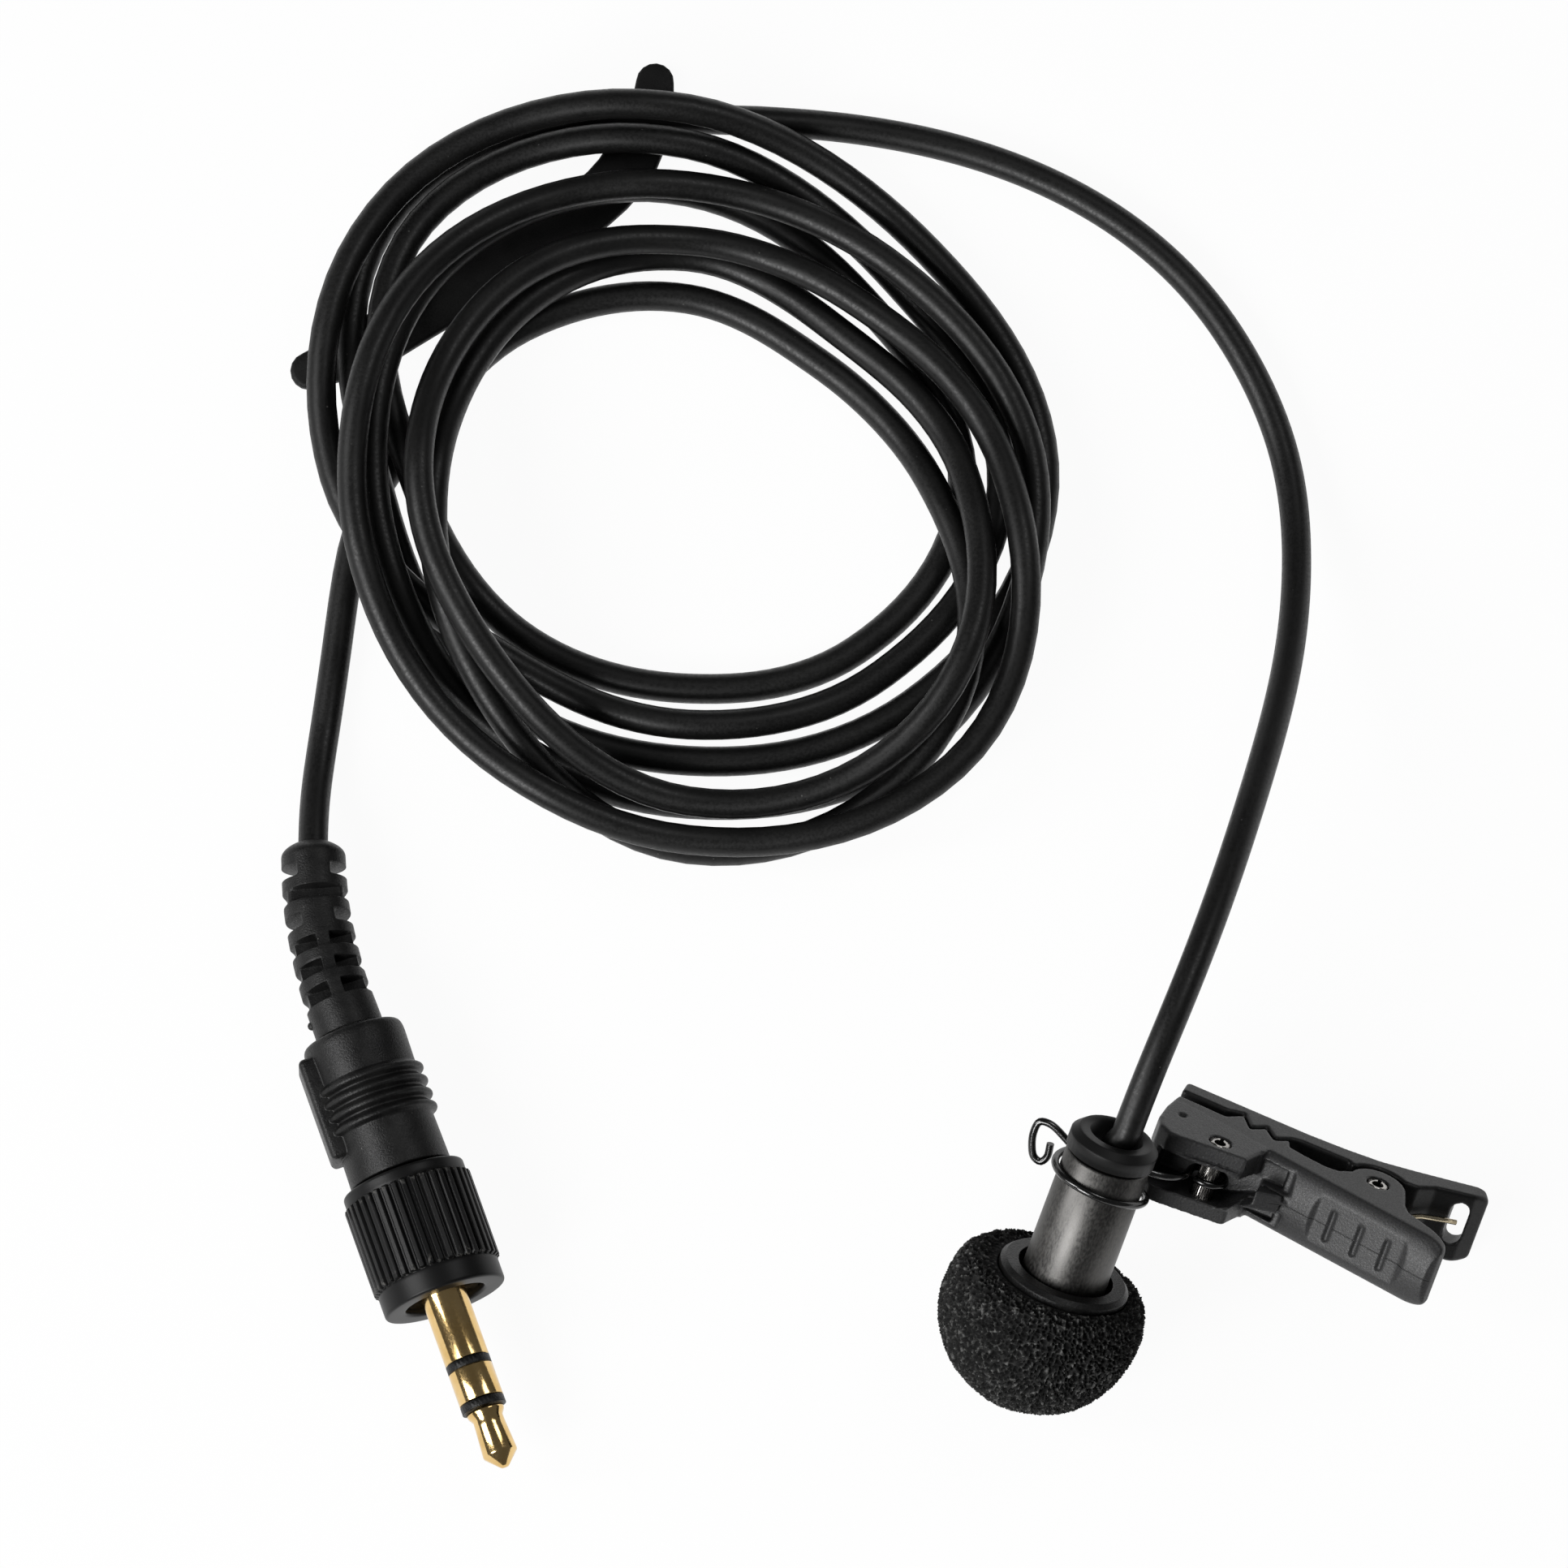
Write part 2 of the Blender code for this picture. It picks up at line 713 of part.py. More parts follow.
def tooth_line(shift):
    """The bite between the jaws, moved by half the gap of the teeth."""
    line = on_clip((4, 63), (13.6, 45.5), (24, 57), (34, 43.5), (44.5, 54))
    return [(x, y + shift) for x, y in line]


GRIP_START, GRIP_END = on_clip((63, 7), (184, -19.4))
GRIP_LEAN = math.atan2(GRIP_END[1] - GRIP_START[1], GRIP_END[0] - GRIP_START[0])


def grip_back(across):
    """How far down the middle of the grip's back lies at a place along it."""
    return GRIP_START[1] + (across - GRIP_START[0]) * math.tan(GRIP_LEAN)


def grip_floor(across):
    """How far down the inside of the grip's back wall lies."""
    return grip_back(across) + BACK_WALL / math.cos(GRIP_LEAN)


def edge_tool(name, start, end, side, wide, deep):
    """A long cutter that rounds one back edge of the clip between two places."""
    low, high = clip_heights()
    along = Vector((end[0] - start[0], end[1] - start[1], 0.0))
    inward = Vector((-along.y, along.x, 0.0)).normalized()
    outward = Vector((0.0, 0.0, side))
    turns = np.radians(np.linspace(0.0, -90.0, 8))
    section = [(wide * (math.cos(t) - 1.0), deep * (1.0 + math.sin(t))) for t in turns]
    section = [(GAP, -GAP), (GAP, deep), *section, (-wide, -GAP)]
    tool = plate(name, section, -along.length / 2, along.length / 2, CLIP)
    middle = Vector(((start[0] + end[0]) / 2, (start[1] + end[1]) / 2, high if side > 0 else low))
    turn = Matrix((outward, inward, outward.cross(inward))).transposed()
    tool.matrix_local = Matrix.Translation(middle) @ turn.to_4x4()
    return tool


def roll_pin(name, parent):
    """A rolled spring pin with its slit."""
    low, high = clip_heights()
    inner = PIN_R - PIN_WALL
    half = math.degrees(PIN_SLIT / 2 / PIN_R)
    half_in = math.degrees(PIN_SLIT / 2 / inner)
    outline = arc((0.0, 0.0), PIN_R, 90.0 + half, 450.0 - half, 25)
    outline += arc((0.0, 0.0), inner, 450.0 - half_in, 90.0 + half_in, 19)
    pin = plate(name, outline, low + RUN, high - RUN, parent)
    colour(pin, (0.75, 0.75, 0.73), 0.25, 1.0)


def build_clip_base():
    """The fixed half of the clip: toothed nose, wire window, ears and crowned grip."""
    low, high = clip_heights()
    outline = on_clip((-47, 49.5), (-8, 47.5)) + tooth_line(-TOOTH_GAP / 2)
    outline += on_clip((47.5, 41.5), (60, 38), (78, 34.8), (88, 36.2))
    outline += arc(JAW_PIN_AT, BOSS_R, 172.0, 8.0, 15)
    outline += on_clip((147.5, 26), (153, 16.5), (170, 7.8), (183, 1), (190, -3), (191.5, -9))
    outline += [*on_clip((189, -16)), GRIP_END, GRIP_START]
    outline += on_clip((62, 13), (32, 13), (28, 0), (24, -14), (5, -17.5), (-20, -21))
    outline += on_clip((-37, -20), (-47, -12), (-51, 2), (-50.5, 25))
    base = plate("clip_base", outline, low, high, CLIP)
    edge = base.modifiers.new("edge", "BEVEL")
    edge.width = 0.00016
    edge.segments = 1
    edge.limit_method = "ANGLE"
    edge.angle_limit = math.radians(50.0)
    bridge_line = on_clip((22, -12), (40, -5), (64, 6.5), (64, 20), (22, 20))
    half = BRIDGE_WIDTH / 2
    join(base, plate("clip_bridge", bridge_line, -half, half, CLIP))

    tools = []
    wide = CLIP_WIDTH / 2 - RUN
    spots = [(across, grip_back(across)) for across, _ in on_clip((33, 0), (197, 0))]
    nose = on_clip((27, -13.5), (-58, -27))
    for side in (-1.0, 1.0):
        tools.append(edge_tool(f"grip_crown_{side:+.0f}", *spots, side, wide, CROWN))
        tools.append(edge_tool(f"nose_round_{side:+.0f}", *nose, side, NOSE_ROUND, NOSE_ROUND))
    first, last = [across for across, _ in on_clip((58, 0), (152, 0))]
    channel_line = [
        (first, grip_floor(first)),
        (last, grip_floor(last)),
        (last, CLIP_LENGTH / 2),
        (first, CLIP_LENGTH / 2),
    ]
    tools.append(plate("clip_channel", channel_line, low + EAR_WALL, high - EAR_WALL, CLIP))
    for name, near, far in (
        ("low", low + RECESS_WALL, -half),
        ("high", half, high - RECESS_WALL),
    ):
        corners = on_clip((34, -30), (56, 20))
        tools.append(block(f"clip_recess_{name}", (*corners[0], near), (*corners[1], far), CLIP))

    eye_r = PIN_R + GAP + 2 * HOLDER_WIRE_R + POCKET_PLAY
    reach = CLIP_LENGTH / 4
    half = WINDOW_WIDTH / 2
    window_line = [
        (across, share * half)
        for (across, _), share in zip(
            on_clip((-41, 0), (14, 0), (39, 0), (39, 0), (12, 0), (-41, 0)),
            (-1.0, -1.0, -0.33, 0.58, 1.0, 1.0),
        )
    ]
    window = plate("clip_window", window_line, -(reach + eye_r) / 2, (reach + eye_r) / 2, CLIP)
    window.location = (0.0, (eye_r - reach) / 2, RUN)
    window.rotation_euler = (math.radians(90.0), 0.0, 0.0)
    tools.append(window)
    far, near = [across for across, _ in on_clip((-80, 0), (-40, 0))]
    slot_low = (far, -reach, RUN - WIRE_SLOT / 2)
    slot_high = (near, WINDOW_DEPTH, RUN + WIRE_SLOT / 2)
    tools.append(block("clip_wire_slot", slot_low, slot_high, CLIP))
    for name, place in (("holder", (0.0, 0.0)), ("jaw", JAW_PIN_AT)):
        tools.append(rod(f"clip_bore_{name}", PIN_R + RUN, low - GAP, high + GAP, CLIP, place))
    dimple = on_clip((-36, 18))[0]
    tools.append(rod("clip_dimple", DIMPLE_R, high - DIMPLE_DEPTH, high + GAP, CLIP, dimple, 12))

    ends = [across for across, _ in on_clip((81, 0), (87, 0), (161, 0), (167, 0))]
    panel_line = [
        (across, grip_back(across) + depth)
        for across, depth in zip(
            (ends[0], *ends, ends[-1]),
            (-CROWN, -GAP / 3, PANEL_DEPTH, PANEL_DEPTH, -GAP / 3, -CROWN),
        )
    ]
    tools.append(plate("grip_panel", panel_line, low - GAP, high + GAP, CLIP))
    for index, (across, _) in enumerate(on_clip((100, 0), (124, 0), (147, 0))):
        tool = block(
            f"grip_groove_{index}",
            (-GROOVE_WIDTH / 2, -GAP, -GROOVE_LENGTH / 2),
            (GROOVE_WIDTH / 2, PANEL_DEPTH + GROOVE_DEPTH, GROOVE_LENGTH / 2),
            CLIP,
        )
        tool.location = (across, grip_back(across) + (PANEL_DEPTH + GROOVE_DEPTH - GAP) / 2, RUN)
        tool.rotation_euler = (0.0, 0.0, GRIP_LEAN)
        tools.append(tool)
    cut(base, *tools)
    colour(base, (0.035, 0.036, 0.038), 0.5)


def build_clip_jaw():
    """The hinged half of the clip: toothed plate, two lugs and a slotted tail."""
    low, high = clip_heights()
    px, py = JAW_PIN_AT
    outline = on_clip((-47, 77), (55, 76), (85, 78), (113, 82), (141, 91))
    outline += on_clip((187, 107.7), (194, 107.7), (200, 99), (189.5, 88.5), (160, 76), (148, 64))
    outline += arc(JAW_PIN_AT, BOSS_R + JAW_PLAY, 50.0, 150.0, 11)
    outline += on_clip((92, 59.5), (52, 58.5)) + tooth_line(TOOTH_GAP / 2)[::-1]
    outline += on_clip((-9, 58.5), (-47, 59.5))
    local = [(x - px, y - py) for x, y in outline]
    jaw = plate("clip_jaw", local, low, high, JAW)
    edge = jaw.modifiers.new("edge", "BEVEL")
    edge.width = 0.00016
    edge.segments = 1
    edge.limit_method = "ANGLE"
    edge.angle_limit = math.radians(60.0)
    inner = (CLIP_WIDTH / 2 - EAR_WALL) - RUN - LUG_WALL
    for index, side in enumerate((-1.0, 1.0)):
        near = CLIP_SHIFT + side * inner
        far = CLIP_SHIFT + side * (inner + LUG_WALL)
        lug_outline = arc((0.0, 0.0), LUG_R, 180.0, 360.0, 13)
        lug_outline += [(0.0015, BOSS_R + JAW_PLAY + 0.0003), (-0.0015, BOSS_R + JAW_PLAY + 0.0003)]
        lug = plate(f"jaw_lug_{index}", lug_outline, min(near, far), max(near, far), JAW)
        join(jaw, lug)
    bore = rod("jaw_bore", PIN_R + RUN, low - GAP, high + GAP, JAW)
    half = (TAIL_SLOT_LENGTH - TAIL_SLOT_WIDTH) / 2
    slot_outline = arc((0.0, half), TAIL_SLOT_WIDTH / 2, 0.0, 180.0, 9)
    slot_outline += arc((0.0, -half), TAIL_SLOT_WIDTH / 2, 180.0, 360.0, 9)
    reach = CLIP_LENGTH / 6
    tail = on_clip((200, 94))[0]
    slot = plate("jaw_tail_slot", slot_outline, -reach, reach, JAW)
    slot.location = (tail[0] - TAIL_SLOT_INSET - px, tail[1] - py, CLIP_SHIFT + GAP)
    slot.rotation_euler = (math.radians(90.0), 0.0, 0.0)
    cut(jaw, bore, slot)
    colour(jaw, (0.030, 0.031, 0.033), 0.5)
    return inner


def build_spring(inner):
    """Torsion spring round the jaw pin, one leg on each half of the clip."""
    coil_r = LUG_R - SPRING_WIRE_R - 0.00025
    start, end = -74.6, -37.0 + 360.0 * SPRING_TURNS
    low = CLIP_SHIFT - SPRING_PITCH * (end - start) / 720.0
    drop = SPRING_WIRE_R + GAP
    jx, jy = JAW_PIN_AT
    points = []
    for across, _ in on_clip((63, 0), (82, 0)):
        points.append((across - jx, grip_floor(across) + drop - jy, low))
    count = 24 * SPRING_TURNS + 4
    for angle in np.linspace(start, end, count):
        x, y = arc((0.0, 0.0), coil_r, angle, angle, 1)[0]
        points.append((x, y, low + SPRING_PITCH * (angle - start) / 360.0))
    top = points[-1][2]
    points += [(x, y, top) for x, y in on_clip((37, 24), (50, 32), (63, 38.5))]
    item = wire("jaw_spring", points, SPRING_WIRE_R, JAW, 1)
    colour(item, (0.70, 0.62, 0.45), 0.3, 1.0)


def build_plug():
    """Locking plug: body, knurled ring and the four-piece contact stack."""
    neck = -RING_MOUTH_LENGTH - 2 * RUN
    shoulder = -RING_LENGTH - GAP
    rear = shoulder - BODY_LENGTH
    bore = SLEEVE_R + RUN
    stem = shoulder - BODY_LENGTH / 4
    ridge = shoulder - BODY_RIDGE_AT + BODY_RIDGE_PITCH * BODY_RIDGES / 2
    profile = [
        (bore, neck),
        (SPIGOT_R, neck),
        (SPIGOT_R, shoulder),
        (BODY_R, shoulder),
    ]
    for index in range(BODY_RIDGES):
        top = ridge - index * BODY_RIDGE_PITCH
        profile.append((BODY_R - BODY_RIDGE * 0.25, top))
        profile.append((BODY_R + BODY_RIDGE, top - BODY_RIDGE_PITCH * 0.25))
        profile.append((BODY_R + BODY_RIDGE, top - BODY_RIDGE_PITCH * 0.45))
        profile.append((BODY_R - BODY_RIDGE * 0.25, top - BODY_RIDGE_PITCH * 0.85))
    profile += [
        (BODY_R, ridge - BODY_RIDGE_PITCH * BODY_RIDGES),
        (BODY_R, rear + BODY_SHOULDER),
        (BODY_R * 0.7 + BODY_FACE_R * 0.3, rear + BODY_SHOULDER * 0.3),
        (BODY_FACE_R, rear),
        (0.0, rear),
    ]
    profile = [(0.0, stem), (bore, stem)] + profile
    body = turned("plug_body", profile, PLUG, 36)
    half = PLATE_HEIGHT / 2
    middle = shoulder - PLATE_AT
    side = block(
        "plug_side_plate",
        (-half, -BODY_R - PLATE_RISE, middle - PLATE_LENGTH / 2),
        (half, -BODY_R + 0.0012, middle + PLATE_LENGTH / 2),
        PLUG,
    )
    edge = side.modifiers.new("edge", "BEVEL")
    edge.width = PLATE_EDGE
    edge.segments = 2
    join(body, side)
    colour(body, (0.018, 0.018, 0.019), 0.6)

    flute = [
        (RING_KNURL_R - RING_FLUTE_DEPTH * (index % 2), index * math.pi / RING_FLUTES)
        for index in range(2 * RING_FLUTES)
    ]
    outline = [(radius * math.cos(t), radius * math.sin(t)) for radius, t in flute]
    knurl_low = -RING_LENGTH + RING_REAR_LIP
    ring = plate("lock_ring", outline, knurl_low, -RING_FRONT_LIP, PLUG)
    lips = turned(
        "ring_lips",
        [
            (0.0, 0.0),
            (RING_LIP_R - RING_EDGE, 0.0),
            (RING_LIP_R, -RING_EDGE),
            (RING_LIP_R, -RING_FRONT_LIP + RING_EDGE),
            (RING_LIP_R - RING_EDGE, -RING_FRONT_LIP - RING_EDGE),
            (RING_LIP_R - RING_EDGE, knurl_low + RING_EDGE),
            (RING_LIP_R, knurl_low - RING_EDGE),
            (RING_LIP_R, -RING_LENGTH + RING_EDGE),
            (RING_LIP_R - RING_EDGE, -RING_LENGTH),
            (0.0, -RING_LENGTH),
        ],
        PLUG,
        48,
    )
    bore_tool = turned(
        "ring_bore",
        [
            (0.0, GAP),
            (RING_MOUTH_R, GAP),
            (RING_MOUTH_R, -RING_MOUTH_LENGTH),
            (SPIGOT_R + RUN, -RING_MOUTH_LENGTH),
            (SPIGOT_R + RUN, -RING_LENGTH - GAP),
            (0.0, -RING_LENGTH - GAP),
        ],
        PLUG,
        48,
    )
    join(ring, lips)
    cut(ring, bore_tool)
    colour(ring, (0.02, 0.02, 0.021), 0.4)

    sleeve_bore = SLEEVE_R - SLEEVE_WALL
    root = stem + GAP
    flange_high = -FLANGE_INSET
    flange_low = flange_high - FLANGE_LENGTH
    sleeve = turned(
        "sleeve_contact",
        [
            (sleeve_bore, SLEEVE_LENGTH),
            (SLEEVE_R, SLEEVE_LENGTH),
            (SLEEVE_R, flange_high),
            (FLANGE_R, flange_high),
            (FLANGE_R, flange_low),
            (SLEEVE_R, flange_low),
            (SLEEVE_R, root),
            (sleeve_bore, root),
        ],
        PLUG,
        32,
        True,
    )
    gold = (0.85, 0.62, 0.25)
    colour(sleeve, gold, 0.2, 1.0)

    outer_r = sleeve_bore - SKIN
    outer_bore = outer_r - SHELL + SKIN / 2
    low = SLEEVE_LENGTH + SKIN
    high = low + INSULATOR_LENGTH
    face_r = SLEEVE_R
    outer = turned(
        "outer_insulator",
        [
            (outer_bore, high),
            (face_r, high),
            (face_r, low),
            (outer_r, low),
            (outer_r, root),
            (outer_bore, root),
        ],
        PLUG,
        32,
        True,
    )
    colour(outer, (0.02, 0.02, 0.02), 0.5)

    ring_r = outer_bore - SKIN
    ring_bore = ring_r - SHELL
    low = high + SKIN
    high = low + RING_CONTACT_LENGTH
    contact = turned(
        "ring_contact",
        [
            (ring_bore, high),
            (face_r, high),
            (face_r, low),
            (ring_r, low),
            (ring_r, root),
            (ring_bore, root),
        ],
        PLUG,
        32,
        True,
    )
    colour(contact, gold, 0.2, 1.0)

    inner_r = ring_bore - SKIN
    inner_bore = ROD_R + SKIN
    low = high + SKIN
    high = low + INSULATOR_LENGTH
    inner = turned(
        "inner_insulator",
        [
            (inner_bore, high),
            (face_r, high),
            (face_r, low),
            (inner_r, low),
            (inner_r, root),
            (inner_bore, root),
        ],
        PLUG,
        32,
        True,
    )
    colour(inner, (0.02, 0.02, 0.02), 0.5)

    low = high + SKIN
    top = low + TIP_LENGTH
    tip_profile = [
        (0.0, top),
        (TIP_NOSE_R * 0.7, top - TIP_LENGTH * 0.01),
        (TIP_NOSE_R, top - TIP_LENGTH * 0.03),
        (TIP_BULB_R * 0.97, top - TIP_LENGTH * 0.23),
        (TIP_BULB_R, top - TIP_LENGTH * 0.26),
        (TIP_NECK_R * 1.03, top - TIP_LENGTH * 0.70),
        (TIP_NECK_R, top - TIP_LENGTH * 0.85),
        (TIP_FLANGE_R * 0.96, top - TIP_LENGTH * 0.94),
        (TIP_FLANGE_R, low),
        (ROD_R, low),
        (ROD_R, root),
        (0.0, root),
    ]
    tip = turned("tip_contact", tip_profile, PLUG, 32)
    colour(tip, gold, 0.18, 1.0)
    return rear


def build_relief(rear):
    """Bend relief: a tapered, bent tail with its open grooves."""
    start = PLUG_CENTRE + (rear - GAP) * PLUG_AXIS
    straight = start - 0.0008 * PLUG_AXIS
    points = through([tuple(start), tuple(straight), *RELIEF_ROUTE], 0.0009)
    along = np.linspace(0.0, 1.0, len(points))
    radii = RELIEF_BASE_R + (RELIEF_CAP_R - RELIEF_BASE_R) * along
    way = (points[-1] - points[-2]) / np.linalg.norm(points[-1] - points[-2])
    dome = [points[-1] + RELIEF_DOME * share * way for share in (0.3, 0.6, 0.85, 1.0)]
    points = np.vstack([points, dome])
    radii = np.append(radii, RELIEF_CAP_R * np.array((0.97, 0.87, 0.71, 0.53)))
    item = wire("bend_relief", points, RELIEF_BASE_R, TABLE, 3, radii)
    length = np.concatenate([[0.0], np.cumsum(np.linalg.norm(np.diff(points, axis=0), axis=1))])
    marks = [RELIEF_FIRST + index * RELIEF_PITCH for index in range(6)]
    for index, mark in enumerate(marks):
        centre = np.array([np.interp(mark, length, points[:, k]) for k in range(3)])
        ahead = np.array([np.interp(mark + 0.0004, length, points[:, k]) for k in range(3)])
        heading = Vector(ahead - centre).normalized()
        side = heading.cross(Vector((0.0, 0.0, 1.0))).normalized()
        up = side.cross(heading).normalized()
        turn = Matrix((side, heading, up)).transposed()
        reach = RELIEF_BASE_R * 1.5
        half = RELIEF_SLOT / 2
        web = RELIEF_WEB / 2
        core = RELIEF_CORE_R
        side_r = np.interp(mark, length, radii) - RELIEF_GROOVE
        column = RELIEF_COLUMN
        if index in (3, 5):
            pairs = (((column, -half, -reach), (reach, half, reach)),
                     ((-reach, -half, -reach), (-column, half, reach)))
        elif index == 4:
            pairs = (((-reach, -half, core), (reach, half, reach)),
                     ((-reach, -half, -reach), (reach, half, -core)),
                     ((side_r, -half, -reach), (reach, half, reach)),
                     ((-reach, -half, -reach), (-side_r, half, reach)))
        else:
            pairs = (((web, -half, core * 0.8), (reach, half, reach)),
                     ((-reach, -half, core * 0.8), (-web, half, reach)),
                     ((web, -half, -reach), (reach, half, -core * 0.8)),
                     ((-reach, -half, -reach), (-web, half, -core * 0.8)),
                     ((side_r, -half, -reach), (reach, half, reach)),
                     ((-reach, -half, -reach), (-side_r, half, reach)))
        for number, (lowest, highest) in enumerate(pairs):
            tool = block(f"relief_slot_{index}_{number}", lowest, highest, TABLE)
            middle = Vector([(a + b) / 2 for a, b in zip(lowest, highest)])
            place = Matrix.Translation(Vector(centre)) @ turn.to_4x4()
            tool.matrix_local = place @ Matrix.Translation(middle)
            cut(item, tool)
    colour(item, (0.016, 0.016, 0.017), 0.7)
    last = points[-1]
    return last, (last - points[-3]) / np.linalg.norm(last - points[-3])


def strap_outline():
    """The tie strap's outline: its route widened, with round ends."""
    route = through([(x, y, 0.0) for x, y in STRAP_ROUTE], 0.0016)[:, :2]
    ahead = np.gradient(route, axis=0)
    ahead /= np.linalg.norm(ahead, axis=1)[:, None]
    across = np.column_stack([-ahead[:, 1], ahead[:, 0]])
    along = np.concatenate([[0.0], np.cumsum(np.linalg.norm(np.diff(route, axis=0), axis=1))])
    near_end = np.minimum(np.minimum(along, along[-1] - along) / STRAP_TAPER, 1.0)
    half = (STRAP_END + (STRAP_WIDTH - STRAP_END) * near_end) / 2
    first = math.degrees(math.atan2(across[0][1], across[0][0]))
    last = math.degrees(math.atan2(-across[-1][1], -across[-1][0]))
    half = half[:, None]
    outline = [tuple(point) for point in route - half * across]
    outline += arc(route[-1], STRAP_END / 2, last, last + 180.0, 9)[1:-1]
    outline += [tuple(point) for point in (route + half * across)[::-1]]
    outline += arc(route[0], STRAP_END / 2, first, first + 180.0, 9)[1:-1]
    return outline, route


def coil_plan(per_turn):
    """Plan points of the coil, anticlockwise from the far side, and their levels."""
    radii = np.array([value for turn in COIL_RADII for value in turn])
    bearing = np.arange(int(COIL_STATIONS * per_turn / 8) + 1) * 8.0 / per_turn
    near = bearing.astype(int)
    part = bearing - near
    before = radii[np.maximum(near - 1, 0)]
    here = radii[near]
    after = radii[near + 1]
    beyond = radii[near + 2]
    reach = 0.5 * (
        2 * here
        + (after - before) * part
        + (2 * before - 5 * here + 4 * after - beyond) * part ** 2
        + (3 * here - before - 3 * after + beyond) * part ** 3
    )
    angle = np.radians(90.0 + 45.0 * bearing)
    plan = np.column_stack([reach * np.cos(angle), reach * np.sin(angle)]) + COIL_CENTRE
    level = np.zeros(len(plan), int)
    for start, height in COIL_LEVELS:
        level[bearing >= start] = height
    return plan, level


def coil_heights(plan, level, floor, per_turn):
    """Let each strand sink until it lies on the table or on the strands below."""
    clear = 2 * CORD_R + COIL_CLEAR
    apart = np.linalg.norm(plan[:, None] - plan[None], axis=2)
    order = np.arange(len(plan))
    other = np.abs(order[:, None] - order[None]) > per_turn // 4
    over, under = np.nonzero((apart < clear) & other & (level[:, None] > level[None]))
    lift = np.sqrt(clear ** 2 - apart[over, under] ** 2)
    top, first = np.unique(over, return_index=True)
    height = floor.copy()
    for _ in range(3000):
        ends = np.pad(height, 2, mode="edge")
        stiff = (10 * height + 4 * (ends[1:-3] + ends[3:-1]) - ends[:-4] - ends[4:]) / 16
        slack = 0.5 * height + 0.25 * (ends[1:-3] + ends[3:-1])
        height = np.maximum(floor, 0.8 * stiff + 0.2 * slack - 0.000004)
        height[top] = np.maximum(height[top], np.maximum.reduceat(height[under] + lift, first))
        height[:3] = floor[:3]
        height[-2:] = floor[-2:]
    eased = height.copy()
    eased[1:-1] = 0.2 * height[:-2] + 0.6 * height[1:-1] + 0.2 * height[2:]
    return eased


def least_gap(points, per_turn):
    """The smallest space between one strand of the coil and another."""
    parts = np.linspace(0.0, 1.0, 4, endpoint=False)
    fine = np.concatenate([points[:-1] + t * np.diff(points, axis=0) for t in parts])
    order = np.concatenate([np.arange(len(points) - 1) + t for t in parts])
    apart = np.linalg.norm(fine[:, None] - fine[None], axis=2)
    apart[np.abs(order[:, None] - order[None]) < per_turn / 4] = 1.0
    return apart.min() - 2 * CORD_R


def build_cord(rear, crimp_front, relief_end, relief_way):
    """Tie strap, coil and the two free leads."""
    outline, route = strap_outline()
    strap = plate("cable_tie", outline, 0.0, STRAP_THICK, TABLE)
    colour(strap, (0.02, 0.02, 0.02), 0.8)

    per_turn = 96
    keep = 3
    plan, level = coil_plan(per_turn)
    reach = np.linalg.norm(plan[:, None] - route[None], axis=2).min(axis=1)
    over = STRAP_THICK + GAP + CORD_R
    floor = np.where(reach < STRAP_WIDTH / 2 + CORD_R, over, CORD_R + 0.00002)
    height = coil_heights(plan, level, floor, per_turn)
    coil = np.column_stack([plan, height])[::keep]
    print(f"coil: least gap {least_gap(coil, per_turn / keep) * 1000:.2f} mm,"
          f" height {coil[:, 2].max() * 1000:.1f} mm")
    item = wire("cable_coil", coil, CORD_R, TABLE, 1)
    colour(item, (0.02, 0.02, 0.021), 0.6)

    way = (coil[1] - coil[0]) / np.linalg.norm(coil[1] - coil[0])
    start = MIC_CENTRE + (crimp_front - 0.0005) * MIC_AXIS
    floor = MIC_CENTRE + (rear - BUSH_RECESS_DEPTH) * MIC_AXIS
    mouth = MIC_CENTRE + rear * MIC_AXIS + LEAD_LEAN * MIC_SIDE
    end = coil[0] - GAP * way
    lead = through(
        [
            tuple(start),
            tuple(floor),
            tuple(mouth),
            *MIC_LEAD_ROUTE,
            tuple(end - 2 * CORD_R * way),
            tuple(end),
        ],
        LEAD_STEP,
    )
    lead[:, 2] = np.maximum(lead[:, 2], CORD_R + 0.00002)
    item = wire("cable_mic_lead", lead, CORD_R, TABLE, 2)
    colour(item, (0.02, 0.02, 0.021), 0.6)

    way = (coil[-1] - coil[-2]) / np.linalg.norm(coil[-1] - coil[-2])
    start = coil[-1] + GAP * way
    end = relief_end + GAP * relief_way
    tail = through(
        [
            tuple(start),
            tuple(start + 2 * CORD_R * way),
            *PLUG_LEAD_ROUTE,
            tuple(end + 1.2 * CORD_R * relief_way),
            tuple(end),
        ],
        0.0016,
    )
    tail[:, 2] = np.maximum(tail[:, 2], CORD_R + 0.00002)
    item = wire("cable_plug_lead", tail, CORD_R, TABLE, 2)
    colour(item, (0.02, 0.02, 0.021), 0.6)
    total = sum(
        np.linalg.norm(np.diff(line, axis=0), axis=1).sum() for line in (coil, lead, tail)
    )
    print(f"cord: {total:.3f} m")


def main():
    """Build every piece in its place."""
    rear, crimp_front = build_microphone()
    build_windscreen()
    build_holder()
    roll_pin("holder_pin", CLIP)
    roll_pin("jaw_pin", JAW)
    build_clip_base()
    build_spring(build_clip_jaw())
    relief_end, relief_way = build_relief(build_plug())
    build_cord(rear, crimp_front, relief_end, relief_way)
    bpy.context.view_layer.update()


main()
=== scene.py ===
"""Lavalier microphone with its foam windscreen, sprung clip, coiled cord and locking plug.

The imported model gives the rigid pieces. This script rounds and paints them, and makes the
foam, the cord, the bent wire, the bend relief, the knurled ring and the plug's moulding anew.
"""

from __future__ import annotations

